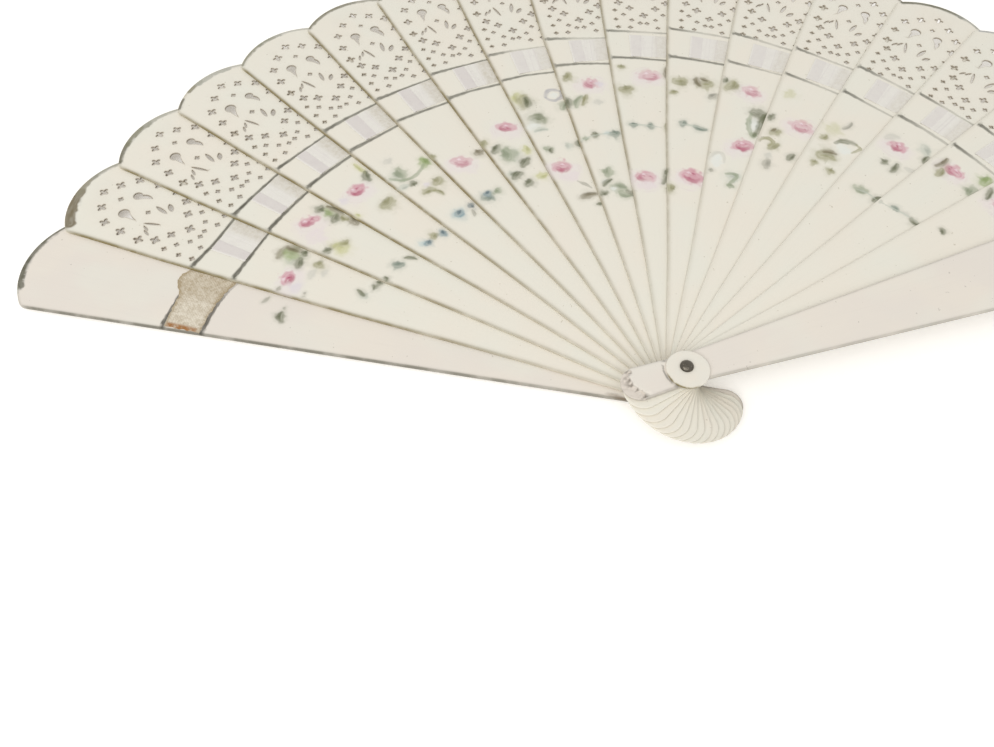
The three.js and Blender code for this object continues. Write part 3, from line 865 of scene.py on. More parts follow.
def guard_marks(hue):
    """The lines beside the glued ribbon end on the back guard."""
    outer = [(-13.2, 139.4), (-9.5, 139.3), (-5.0, 139.0), (-1.6, 138.9)]
    inner = [(-12.2, 128.0), (-8.0, 128.0), (-4.0, 127.8), (0.0, 127.1), (3.2, 126.2), (6.0, 125.0)]
    fresh = [0.97, 0.96, 0.92, 0.85]
    fading = [0.98, 0.97, 0.9, 0.6, 0.3]
    return [Stroke(outer, [0.62, 0.56, 0.5, 0.45], hue.brush_line_and_shade, fresh, streak=0.22, seed=41),
            Stroke(inner, [0.66, 0.6, 0.52, 0.42, 0.3], hue.brush_line_and_shade, fading, streak=0.22, seed=42)]


# Meshes

def triangulate(loops, inner):
    """Triangles inside the first loop and outside the others, with the inner points as corners too."""
    points = np.vstack(list(loops) + [inner])
    edges = []
    start = 0
    for loop in loops:
        count = len(loop)
        edges += [(start + k, start + (k + 1) % count) for k in range(count)]
        start += count
    made = delaunay_2d_cdt([Vector(p) for p in points], edges, [], 1, 1e-6)
    if len(made[0]) != len(points):
        counts = (len(points), len(made[0]))
        raise RuntimeError("the loops of a stick cross or touch: %d points became %d" % counts)
    corners = np.array(made[2])
    sides = points[corners]
    first = sides[:, 1] - sides[:, 0]
    second = sides[:, 2] - sides[:, 0]
    turned = first[:, 0] * second[:, 1] - first[:, 1] * second[:, 0] < 0
    corners[turned] = corners[turned][:, ::-1]
    middles = sides.mean(axis=1)
    kept = np.ones(len(corners), bool)
    for loop in loops[1:]:
        near = near_box(middles, loop, 0.0)
        kept[near[inside(middles[near], loop)]] = False
    return points, corners[kept]


def paint_points(size, outline, marks, rim):
    """Points that carry the paint on a stick's front, close together only where there is paint."""
    low = outline.min(axis=0)
    high = outline.max(axis=0)

    def lattice(pitch):
        across = np.arange(low[0], high[0], pitch)
        along = np.arange(low[1], high[1], pitch)
        grid = np.array(np.meshgrid(across, along)).reshape(2, -1).T
        grid[:, 0] += np.where(np.arange(len(grid)) // len(across) % 2, pitch / 2, 0)
        return grid

    fine = lattice(size.paint_pitch)
    coarse = lattice(COARSE_PITCH)
    spill = 0.25
    wanted = np.zeros(len(fine), bool)
    free = np.ones(len(coarse), bool)
    for mark in marks:
        picked = mark.picked(fine, 0.1)
        run, distance, _ = mark.measure(fine[picked])
        half = mark.spread(mark.half, run)
        wanted[picked] |= distance < half * (1 + mark.soft) + spill
        free[mark.picked(coarse, 0.3)] = False
    points = np.vstack([fine[wanted], coarse[free]])
    return points[inside(points, outline - loop_normals(outline) * (rim + PAINT_INSET))]


def lay_paint(points, marks, front):
    """Colour and cover of the paint on each point, one mark over the other."""
    paint = np.zeros((len(points), 3))
    cover = np.zeros(len(points))
    open_points = np.flatnonzero(front)
    flat = points[open_points, :2]
    for mark in marks:
        picked = mark.picked(flat)
        if not len(picked):
            continue
        amount = mark.amount(flat[picked])
        rows = open_points[picked]
        left = cover[rows] * (1 - amount)
        both = left + amount
        mixed = paint[rows] * left[:, None] + mark.tint * amount[:, None]
        paint[rows] = mixed / np.maximum(both, 1e-6)[:, None]
        cover[rows] = both
    return paint, cover


def plate(size, stick, holes, dirt_and_shade, marks, rim, chip=None):
    """Points, faces, paint, soiling and painted shade of one stick or guard, with rounded rims, pierced and
    painted.
    """
    bottom, top = heights(node_name(stick))
    outline = stick_outline(size, OUTLINE_STEP, not is_guard(stick))
    normals = loop_normals(outline)
    edge = edge_strength(size, stick, outline)
    hole_rings = [hole + loop_normals(hole) * HOLE_RIM for hole in holes]

    def levels(count, stained, grimy_and_shaded):
        return np.column_stack([np.broadcast_to(stained, count), np.broadcast_to(grimy_and_shaded, count)])

    # Front: the rim, loops that fade the edge stain, a ring round each hole, and the paint's points.
    inner = []
    inner_soil = []
    for gap, level in GUARD_FADE if is_guard(stick) else STICK_FADE:
        inner.append(outline - normals * (rim + gap))
        inner_soil.append(levels(len(outline), level * edge, 0.0))
    for hole, amount in zip(holes, dirt_and_shade):
        inner.append(hole + loop_normals(hole) * HOLE_RING)
        inner_soil.append(levels(len(hole), 0.0, RING_GRIME_AND_SHADE * amount))
    inner.append(paint_points(size, outline, marks, rim))
    inner_soil.append(levels(len(inner[-1]), 0.0, 0.0))
    inner = np.vstack(inner)
    clear = clear_of(inner, hole_rings, HOLE_CLEARANCE)
    front, front_faces = triangulate([outline - normals * rim] + hole_rings, inner[clear])
    soil = [levels(len(outline), FRONT_STAIN * edge, 0.0)]
    soil += [levels(len(hole), 0.0, RIM_GRIME_AND_SHADE * amount) for hole, amount in zip(holes, dirt_and_shade)]
    soil.append(np.vstack(inner_soil)[clear])

    points = [np.column_stack([front, np.full(len(front), top)])]
    faces = front_faces.tolist()
    total = len(front)

    def ring(loop, height, stained, grimy_and_shaded):
        nonlocal total
        points.append(np.column_stack([loop, np.full(len(loop), height)]))
        soil.append(levels(len(loop), stained, grimy_and_shaded))
        total += len(loop)
        return total - len(loop)

    def wall(upper, lower, count, inward=False):
        for k in range(count):
            after = (k + 1) % count
            quad = [upper + k, lower + k, lower + after, upper + after]
            faces.append(quad[::-1] if inward else quad)

    count = len(outline)
    slope = rim * RIM_SLOPE
    rings = [0,
             ring(outline - normals * slope, top - slope, edge, 0.0),
             ring(outline, top - rim, edge, 0.0),
             ring(outline, bottom + rim, edge, 0.0),
             ring(outline - normals * slope, bottom + slope, edge, 0.0)]
    inset = outline - normals * (rim + BACK_INSET)
    back, back_faces = triangulate([outline - normals * rim] + list(holes), inset)
    back_start = total
    points.append(np.column_stack([back, np.full(len(back), bottom)]))
    soil.append(levels(count, BACK_STAIN * edge, 0.0))
    soil += [levels(len(hole), 0.0, BACK_GRIME_AND_SHADE * amount) for hole, amount in zip(holes, dirt_and_shade)]
    soil.append(levels(count, 0.0, 0.0))
    total += len(back)
    faces += (back_faces[:, ::-1] + back_start).tolist()
    rings.append(back_start)
    for upper, lower in zip(rings, rings[1:]):
        wall(upper, lower, count)
    front_hole = count
    back_hole = back_start + count
    for hole, amount in zip(holes, dirt_and_shade):
        lip = ring(hole, top - HOLE_RIM, 0.0, WALL_GRIME_AND_SHADE * amount)
        wall(front_hole, lip, len(hole), True)
        wall(lip, back_hole, len(hole), True)
        front_hole += len(hole)
        back_hole += len(hole)

    points = np.vstack(points)
    soil = np.vstack(soil)
    paint, cover = lay_paint(points, marks, points[:, 2] > top - rim - 1e-6)
    uneven = 0.6 + 0.4 * smooth_noise(points[:, :2], 0.5, stick)
    relief = cover * size.paint_relief * uneven
    points[:, 2] += np.where(points[:, 2] > top - 1e-6, relief, 0)
    if chip is not None:
        paint, cover = chip(points, paint, cover, bottom, top)
    return points, faces, np.column_stack([paint, cover]), {"stain": soil[:, 0], "grime_and_shade": soil[:, 1]}


def new_mesh(name, points, faces, colours=None, values=None):
    """Smooth-shaded mesh in metres from points in millimetres, with its paint, stains and painted shade."""
    mesh = bpy.data.meshes.new(name)
    mesh.from_pydata((np.asarray(points) * MM).tolist(), [], faces)
    mesh.validate()
    if colours is not None:
        layer = mesh.color_attributes.new("paint", "FLOAT_COLOR", "POINT")
        layer.data.foreach_set("color", np.ascontiguousarray(colours, np.float32).ravel())
    for key, amounts in (values or {}).items():
        layer = mesh.attributes.new(key, "FLOAT", "POINT")
        layer.data.foreach_set("value", np.ascontiguousarray(amounts, np.float32))
    mesh.polygons.foreach_set("use_smooth", [True] * len(mesh.polygons))
    mesh.set_sharp_from_angle(angle=SHARP_EDGE)
    mesh.update()
    return mesh


def add_piece(name, mesh, material, turn, body, node):
    """Object of one piece in its place, riding on its body and standing for its CAD node."""
    piece = bpy.data.objects.new(name, mesh)
    bpy.context.scene.collection.objects.link(piece)
    piece.matrix_world = Matrix.Rotation(turn, 4, "Z")
    mesh.materials.append(material)
    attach(piece, body)
    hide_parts(node)
    return piece


def lathe(profile, segments, closed):
    """Points and faces of a profile of radius and height turned about the rivet's axis."""
    angles = np.arange(segments) / segments * 2 * math.pi
    circle = np.column_stack([np.cos(angles), np.sin(angles)])
    rounds = [np.column_stack([r * circle, np.full(segments, z)]) for r, z in profile]
    faces = []
    rows = len(profile)
    for row in range(rows if closed else rows - 1):
        below = row * segments
        above = (row + 1) % rows * segments
        for k in range(segments):
            after = (k + 1) % segments
            faces.append([below + k, below + after, above + after, above + k])
    if not closed:
        faces.append(list(range(segments))[::-1])
        faces.append([(rows - 1) * segments + k for k in range(segments)])
    return np.vstack(rounds), faces


# Materials

class Finish:
    """The nodes of a material or world, and short ways to add to them."""

    def __init__(self, owner):
        owner.use_nodes = True
        self.owner = owner
        self.tree = owner.node_tree
        self.shader = self.tree.nodes.get("Principled BSDF")

    def add(self, kind, inputs=None, **settings):
        """Node of a kind, with its settings and with values or links for its inputs."""
        node = self.tree.nodes.new(kind)
        for key, value in settings.items():
            setattr(node, key, value)
        for key, value in (inputs or {}).items():
            self.feed(node.inputs[key], value)
        return node

    def feed(self, socket, value):
        """Link or set one input."""
        if isinstance(value, bpy.types.NodeSocket):
            self.tree.links.new(value, socket)
        elif socket.type == "RGBA":
            socket.default_value = (*value, 1.0)
        else:
            socket.default_value = value

    def set(self, **inputs):
        """Links or values for the shader's inputs, with underscores for the spaces in their names."""
        for key, value in inputs.items():
            self.feed(self.shader.inputs[key.replace("_", " ")], value)

    def math(self, operation, first, second=0.0, third=0.0):
        """Result of a sum, product or other plain operation."""
        return self.add("ShaderNodeMath", {0: first, 1: second, 2: third}, operation=operation).outputs[0]

    def mix(self, amount, first, second):
        """Colour between two colours."""
        node = self.add("ShaderNodeMix", data_type="RGBA", clamp_factor=True)
        # The node has inputs of every kind: 6 and 7 are the colours, and so is output 2.
        self.feed(node.inputs["Factor"], amount)
        self.feed(node.inputs[6], first)
        self.feed(node.inputs[7], second)
        return node.outputs[2]

    def noise(self, vector, scale, detail=2.0, roughness=0.5):
        """Noise from 0 to 1."""
        inputs = {"Vector": vector, "Scale": scale, "Detail": detail, "Roughness": roughness}
        return self.add("ShaderNodeTexNoise", inputs).outputs["Fac"]

    def span(self, value, low, high):
        """Value from low to high turned into 0 to 1."""
        inputs = {"Value": value, "From Min": low, "From Max": high}
        return self.add("ShaderNodeMapRange", inputs, interpolation_type="SMOOTHSTEP").outputs["Result"]

    def stretch(self, vector, across, along, depth):
        """Coordinates scaled differently along each axis."""
        inputs = {"Vector": vector, "Scale": (across, along, depth)}
        return self.add("ShaderNodeMapping", inputs).outputs["Vector"]

    def value(self, name):
        """Number kept on the mesh under a name."""
        return self.add("ShaderNodeAttribute", attribute_name=name).outputs["Fac"]

    def place(self):
        """Place on the piece in millimetres, moved apart so that no two pieces have the same pattern."""
        own = self.add("ShaderNodeTexCoord").outputs["Object"]
        scaled = self.add("ShaderNodeVectorMath", {0: own, "Scale": 1 / MM}, operation="SCALE").outputs[0]
        chance = self.add("ShaderNodeObjectInfo").outputs["Random"]
        apart = self.math("MULTIPLY", chance, 900.0)
        shift = self.add("ShaderNodeCombineXYZ", {"X": apart, "Y": apart, "Z": apart}).outputs[0]
        return self.add("ShaderNodeVectorMath", {0: scaled, 1: shift}, operation="ADD").outputs[0]

    def bump(self, height, distance, strength):
        """Normal raised by a height from 0 to 1 over a distance in millimetres."""
        inputs = {"Height": height, "Strength": strength, "Distance": distance * MM}
        return self.add("ShaderNodeBump", inputs).outputs["Normal"]

    def seen(self):
        """1 where the camera sees the surface, straight, mirrored or through glass, and 0 elsewhere."""
        rays = self.add("ShaderNodeLightPath").outputs
        open_rays = self.math("MAXIMUM", rays["Is Camera Ray"], rays["Is Glossy Ray"])
        return self.math("MAXIMUM", open_rays, rays["Is Transmission Ray"])


def darker(tint, share):
    """A colour made darker."""
    return tuple(v * share for v in tint)


def ivory_finish(hue, name, ivory, edge):
    """Satin ivory-coloured sheet: soft clouds, lengthwise grain, stained edges and hand-painted marks."""
    finish = Finish(bpy.data.materials.new(name))
    place = finish.place()
    clouds = finish.span(finish.noise(place, 0.045, 3.0), 0.4, 0.68)
    cools = finish.span(finish.noise(finish.stretch(place, 1.3, 0.7, 1.0), 0.06, 2.0), 0.46, 0.7)
    grain = finish.noise(finish.stretch(place, 2.6, 0.07, 1.0), 1.0, 4.0, 0.6)
    fine = finish.noise(place, 3.0, 3.0, 0.6)
    body = finish.mix(finish.math("MULTIPLY", clouds, 0.5), ivory, hue.ivory_warm)
    body = finish.mix(finish.math("MULTIPLY", cools, 0.4), body, hue.ivory_cool)
    streaks = finish.math("MULTIPLY", finish.span(grain, 0.5, 0.78), 0.1)
    body = finish.mix(streaks, body, darker(ivory, 0.82))
    specks = finish.math("MULTIPLY", finish.span(finish.noise(place, 0.9, 1.0), 0.76, 0.8), 0.3)
    body = finish.mix(specks, body, edge)
    patches = finish.span(finish.noise(place, 0.12, 3.0, 0.6), 0.25, 0.6)
    patchy = finish.math("MULTIPLY_ADD", patches, 0.4, 0.6)
    stain = finish.math("MULTIPLY", finish.value("stain"), patchy)
    body = finish.mix(stain, body, edge)
    # Grime and painted shade in and round the cut holes.
    body = finish.mix(finish.value("grime_and_shade"), body, hue.grime_and_shade)
    paint = finish.add("ShaderNodeAttribute", attribute_name="paint")
    body = finish.mix(paint.outputs["Alpha"], body, paint.outputs["Color"])
    satin = finish.math("MULTIPLY_ADD", grain, 0.16, 0.36)
    rough = finish.math("MULTIPLY_ADD", paint.outputs["Alpha"], 0.14, satin)
    height = finish.math("MULTIPLY_ADD", fine, 0.5, grain)
    finish.set(Base_Color=body, Roughness=rough, Normal=finish.bump(height, 0.05, 0.16),
               Specular_IOR_Level=0.4)
    return finish.owner


def weave_height(finish, place, pitch):
    """Height of a plain weave with threads one pitch apart."""
    apart = finish.add("ShaderNodeSeparateXYZ", {0: place}).outputs
    across = finish.math("SINE", finish.math("MULTIPLY", apart["X"], math.pi / pitch))
    along = finish.math("SINE", finish.math("MULTIPLY", apart["Y"], math.pi / pitch))
    return finish.math("MULTIPLY_ADD", finish.math("MULTIPLY", across, along), 0.5, 0.5)


def silk_finish(hue):
    """Thin white silk with a fine weave: lavender-grey in its first fold, with painted shade beside its
    creases, and browner with dust and painted shade towards the next stick.
    """
    finish = Finish(bpy.data.materials.new("white_silk_ribbon"))
    place = finish.place()
    weave = weave_height(finish, place, 0.2)
    slubs = finish.noise(finish.stretch(place, 0.25, 4.0, 1.0), 1.0, 3.0, 0.6)
    clouds = finish.span(finish.noise(place, 0.35, 3.0, 0.6), 0.42, 0.72)
    shade = finish.math("MULTIPLY_ADD", clouds, 0.2, finish.value("fold"))
    body = finish.mix(shade, hue.silk, hue.silk_shade)
    # Dust and painted shade towards the next stick, in patches.
    patches = finish.span(finish.noise(place, 0.9, 4.0, 0.7), 0.36, 0.7)
    dust_and_shade_strength = finish.math("MULTIPLY_ADD", patches, 0.6, 0.4)
    dust_and_shade = finish.math("MULTIPLY", finish.value("soil"), dust_and_shade_strength)
    body = finish.mix(dust_and_shade, body, hue.silk_dust_and_shade)
    threads = finish.math("MULTIPLY", finish.span(slubs, 0.5, 0.8), 0.14)
    body = finish.mix(threads, body, darker(hue.silk, 0.86))
    body = finish.mix(finish.math("MULTIPLY", weave, 0.06), body, darker(hue.silk, 0.8))
    specks = finish.math("MULTIPLY", finish.span(finish.noise(place, 1.1, 1.0), 0.74, 0.8), 0.3)
    body = finish.mix(specks, body, darker(hue.silk_dust_and_shade, 0.6))
    height = finish.math("MULTIPLY_ADD", slubs, 0.6, weave)
    finish.set(Base_Color=body, Roughness=finish.math("MULTIPLY_ADD", slubs, 0.2, 0.45),
               Normal=finish.bump(height, 0.04, 0.3), Sheen_Weight=0.2, Sheen_Roughness=0.4)
    return finish.owner


def glued_silk_finish(hue):
    """Ribbon end stiff with old glue: open weave, ochre stains and a brown smear."""
    finish = Finish(bpy.data.materials.new("glued_silk_end"))
    place = finish.place()
    weave = weave_height(finish, place, 0.42)
    threads = finish.noise(finish.stretch(place, 0.5, 2.4, 1.0), 1.0, 4.0, 0.7)
    specks = finish.span(finish.noise(place, 1.1, 5.0, 0.8), 0.42, 0.6)
    clouds = finish.span(finish.noise(place, 0.3, 4.0, 0.65), 0.4, 0.66)
    stained = finish.math("MULTIPLY_ADD", clouds, 0.18, finish.value("soil"))
    stained = finish.math("MULTIPLY_ADD", weave, 0.12, finish.math("MULTIPLY_ADD", specks, 0.36, stained))
    body = finish.mix(stained, hue.glued_silk, hue.glued_shade)
    fibres = finish.math("MULTIPLY", finish.span(threads, 0.52, 0.8), 0.5)
    body = finish.mix(fibres, body, darker(hue.glued_shade, 0.6))
    thick = finish.span(finish.noise(place, 0.7, 3.0), 0.1, 0.55)
    smear = finish.math("MULTIPLY", finish.value("glue"), thick)
    body = finish.mix(smear, body, hue.glue)
    height = finish.math("ADD", weave, threads)
    finish.set(Base_Color=body, Roughness=finish.math("MULTIPLY_ADD", clouds, -0.2, 0.75),
               Normal=finish.bump(height, 0.12, 0.6), Sheen_Weight=0.1)
    return finish.owner


def washer_finish(hue):
    """Washer cut from the same kind of sheet, with turning marks, and a rim darkened on one side by grime
    and painted shade.
    """
    finish = Finish(bpy.data.materials.new("washer_ivory"))
    place = finish.place()
    clouds = finish.span(finish.noise(place, 0.3, 3.0), 0.4, 0.7)
    body = finish.mix(finish.math("MULTIPLY", clouds, 0.5), hue.washer, hue.ivory_warm)
    fine = finish.noise(place, 2.2, 4.0, 0.65)
    scuffs = finish.math("MULTIPLY", finish.span(fine, 0.55, 0.8), 0.2)
    body = finish.mix(scuffs, body, darker(hue.washer, 0.8))
    # The rim's grime and painted shade, in the colour of the edge stain.
    patches = finish.span(finish.noise(place, 0.4, 3.0), 0.2, 0.6)
    stain = finish.math("MULTIPLY", finish.value("stain"), patches)
    body = finish.mix(stain, body, hue.edge_stain_and_shade)
    finish.set(Base_Color=body, Roughness=finish.math("MULTIPLY_ADD", fine, 0.2, 0.3),
               Normal=finish.bump(fine, 0.06, 0.2))
    return finish.owner


def steel_finish(hue):
    """Darkened steel with hammer marks and brighter rubbed specks."""
    finish = Finish(bpy.data.materials.new("darkened_steel"))
    place = finish.place()
    dents = finish.noise(place, 2.4, 2.0)
    rust = finish.span(finish.noise(place, 0.9, 4.0, 0.65), 0.45, 0.75)
    body = finish.mix(finish.math("MULTIPLY", rust, 0.7), hue.steel, darker(hue.steel, 0.35))
    marked = finish.math("MULTIPLY", finish.span(dents, 0.58, 0.75), 0.7)
    body = finish.mix(marked, body, srgb(150, 142, 128))
    finish.set(Base_Color=body, Roughness=finish.math("MULTIPLY_ADD", rust, 0.3, 0.28),
               Normal=finish.bump(dents, 0.15, 0.5), Metallic=0.85)
    return finish.owner


def floor_finish():
    """White table: it keeps the fan's shadow, and what is open to the camera reads as white."""
    finish = Finish(bpy.data.materials.new("white_table"))
    fine = finish.noise(finish.place(), 0.02, 3.0)
    body = finish.mix(fine, (0.81, 0.81, 0.81), (0.83, 0.83, 0.83))
    finish.set(Base_Color=body, Roughness=0.9, Specular_IOR_Level=0.1)
    strength = finish.math("MULTIPLY", finish.seen(), 0.38)
    glow = finish.add("ShaderNodeEmission", {"Color": (1.0, 0.93, 0.82), "Strength": strength})
    both = finish.add("ShaderNodeAddShader", {0: finish.shader.outputs[0], 1: glow.outputs[0]})
    finish.feed(finish.tree.nodes["Material Output"].inputs["Surface"], both.outputs[0])
    return finish.owner


# Operators

class FAN_OT_stage(bpy.types.Operator):
    """Make the white table, the soft light and the camera"""

    bl_idname = "fan.build_stage"
    bl_label = "Stage"

    camera_place = Vector((-57.95, -119.48, 204.68)) * MM
    camera_aim = Vector((-46.68, 10.01, 0.0)) * MM
    camera_roll = math.radians(2.16)
    camera_lens = 32.70
    softbox_place = Vector((-0.55, -0.95, 1.3))
    softbox_size = 1.6
    softbox_power = 21.3
    room_light = 0.55
    table_half = 4.0

    def execute(self, context):
        scene = context.scene
        scene.view_settings.view_transform = "Standard"
        self.add_table(scene)
        self.add_room(scene)
        self.add_softbox(scene)
        self.add_camera(scene)
        return {"FINISHED"}

    def add_table(self, scene):
        """A flat white table under the fan."""
        half = self.table_half
        mesh = bpy.data.meshes.new("table")
        corners = [(-half, -half, 0), (half, -half, 0), (half, half, 0), (-half, half, 0)]
        mesh.from_pydata(corners, [], [(0, 1, 2, 3)])
        mesh.materials.append(floor_finish())
        table = bpy.data.objects.new("table", mesh)
        scene.collection.objects.link(table)

    def add_room(self, scene):
        """Even light from all round, which the camera sees as white."""
        scene.world = bpy.data.worlds.new("studio")
        room = Finish(scene.world)
        inputs = {"Value": room.seen(), "To Min": self.room_light, "To Max": 1.0}
        strength = room.add("ShaderNodeMapRange", inputs).outputs["Result"]
        background = room.tree.nodes["Background"]
        room.feed(background.inputs["Color"], (1, 1, 1))
        room.feed(background.inputs["Strength"], strength)

    def aimed(self, scene, name, data, place, target, roll=0.0):
        """Object that looks from its place to a target."""
        item = bpy.data.objects.new(name, data)
        item.location = place
        item.rotation_mode = "QUATERNION"
        item.rotation_quaternion = (target - place).to_track_quat("-Z", "Y") @ Quaternion((0, 0, 1), roll)
        scene.collection.objects.link(item)
        return item

    def add_softbox(self, scene):
        """One large soft lamp at the front, above the camera."""
        lamp = bpy.data.lights.new("softbox", "AREA")
        lamp.shape = "SQUARE"
        lamp.size = self.softbox_size
        lamp.energy = self.softbox_power
        self.aimed(scene, "softbox", lamp, self.softbox_place, Vector())

    def add_camera(self, scene):
        """The camera at the photograph's angle."""
        lens = bpy.data.cameras.new("camera")
        lens.sensor_width = 36.0
        lens.lens = self.camera_lens
        lens.clip_start = 0.01
        place, aim, roll = self.camera_place, self.camera_aim, self.camera_roll
        scene.camera = self.aimed(scene, "camera", lens, place, aim, roll)


class FAN_OT_sticks(bpy.types.Operator):
    """Make the sixteen pierced and painted sticks"""

    bl_idname = "fan.build_sticks"
    bl_label = "Sticks"

    def execute(self, context):
        size = sizes_in_mm(context)
        hue = context.scene.fan_colours
        ivory = ivory_finish(hue, "painted_ivory_sheet", hue.ivory, hue.edge_stain_and_shade)
        for stick in range(FIRST_STICK, LAST_STICK + 1):
            holes = [round_dot(size.rivet_hole), ribbon_slit(size, stick)] + piercings(stick)
            # Grime and painted shade for each hole: the rivet's hole, the ribbon's slit, then the cut
            # pattern.
            dirt_and_shade = [0.5, 0.2] + [1.0] * (len(holes) - 2)
            marks = tip_marks(size, stick) + band_marks(size, hue, stick) + garland_marks(hue, stick)
            points, faces, paint, soil = plate(size, stick, holes, dirt_and_shade, marks, size.stick_rim)
            node = node_name(stick)
            mesh = new_mesh("painted_" + node, points, faces, paint, soil)
            add_piece("painted_" + node, mesh, ivory, stick_turn(size, stick), node, node)
        return {"FINISHED"}


class FAN_OT_guards(bpy.types.Operator):
    """Make the two plain guards, the front one with its broken tail"""

    bl_idname = "fan.build_guards"
    bl_label = "Guards"

    break_line = ((-3.9, -13.4), (-2.5, -14.4), (0.1, -14.2), (2.7, -12.8), (4.7, -12.4))
    # A dark smudge along the back guard's edge beside the pivot: dirt and painted shade.
    shaded_smudge_line = ((-5.0, 13.2), (-4.6, 15.2), (-4.4, 17.4))
    shaded_smudge = srgb(112, 92, 64)
    flaked = srgb(233, 222, 209)
    crevice = srgb(122, 111, 97)
    step_width = 0.3
    crevice_reach = 3.0

    def execute(self, context):
        size = sizes_in_mm(context)
        hue = context.scene.fan_colours
        ivory = ivory_finish(hue, "plain_ivory_sheet", hue.guard_ivory, hue.guard_edge)
        # The back guard's smudge of dirt and painted shade.
        shaded_smudge = Stroke(self.shaded_smudge_line, [0.9, 0.8, 0.4], self.shaded_smudge, [0.8, 0.7, 0.3],
                        soft=1.0, streak=0.4, seed=78)
        lines = guard_marks(hue) + garland_marks(hue, BACK_GUARD)
        self.build(size, BACK_GUARD, ivory, lines + [shaded_smudge])
        # A dark ring on the front guard along the front washer's lower-left edge: dirt and painted shade
        # under the washer.
        marked = ring_path((0, 0), 5.75, 5.75, 0, 225, 318)
        dirt_and_shade = Stroke(marked, [0.2, 0.25, 0.4], hue.brush_line_and_shade, [0.5, 0.7, 0.6], soft=1.0, seed=77)
        # This mark lays no paint: it only asks for close points where the tail is broken.
        tail_patch = Stroke([(-2.5, -15.0), (2.5, -15.0)], 3.6, self.flaked, 0.0)
        self.build(size, FRONT_GUARD, ivory, [dirt_and_shade, tail_patch], self.broken_tail)
        return {"FINISHED"}

    def build(self, size, stick, ivory, marks, chip=None):
        """One guard with its edging, its other marks and, on the front one, its broken tail."""
        marks = tip_marks(size, stick) + marks
        holes = [round_dot(size.rivet_hole)]
        points, faces, paint, soil = plate(size, stick, holes, [0.5], marks, size.guard_rim, chip)
        node = node_name(stick)
        mesh = new_mesh("plain_" + node, points, faces, paint, soil)
        add_piece("plain_" + node, mesh, ivory, stick_turn(size, stick), node, node)

    def broken_tail(self, points, paint, cover, bottom, top):
        """Breaks a flake out of the tail's front, which leaves a rough step with dark crevices."""
        flat = points[:, :2]
        across, along = np.array(self.break_line).T
        border = np.interp(flat[:, 0], across, along)
        ragged = (smooth_noise(flat, 0.9, 5) - 0.5) * 0.9
        depth = ease((border + ragged - flat[:, 1]) / self.step_width)
        rough = 0.3 + 0.34 * smooth_noise(flat, 0.8, 8) + 0.2 * smooth_noise(flat, 0.35, 9)
        upper = points[:, 2] > (bottom + top) / 2
        lowered = np.minimum(points[:, 2], top - depth * rough * (top - bottom))
        points[:, 2] = np.where(upper, lowered, points[:, 2])
        amount = np.where(upper, depth * 0.85, 0)
        step = 1 - ease((border - flat[:, 1]) / self.crevice_reach)
        slant = np.column_stack([flat[:, 0] + 0.4 * flat[:, 1], 0.4 * flat[:, 1]])
        dark = (step * ease((smooth_noise(slant, 0.45, 3) - 0.44) / 0.3))[:, None]
        tint = np.array(self.flaked) * (1 - dark) + np.array(self.crevice) * dark
        paint = paint * (1 - amount[:, None]) + tint * amount[:, None]
        return paint, np.maximum(cover, amount)


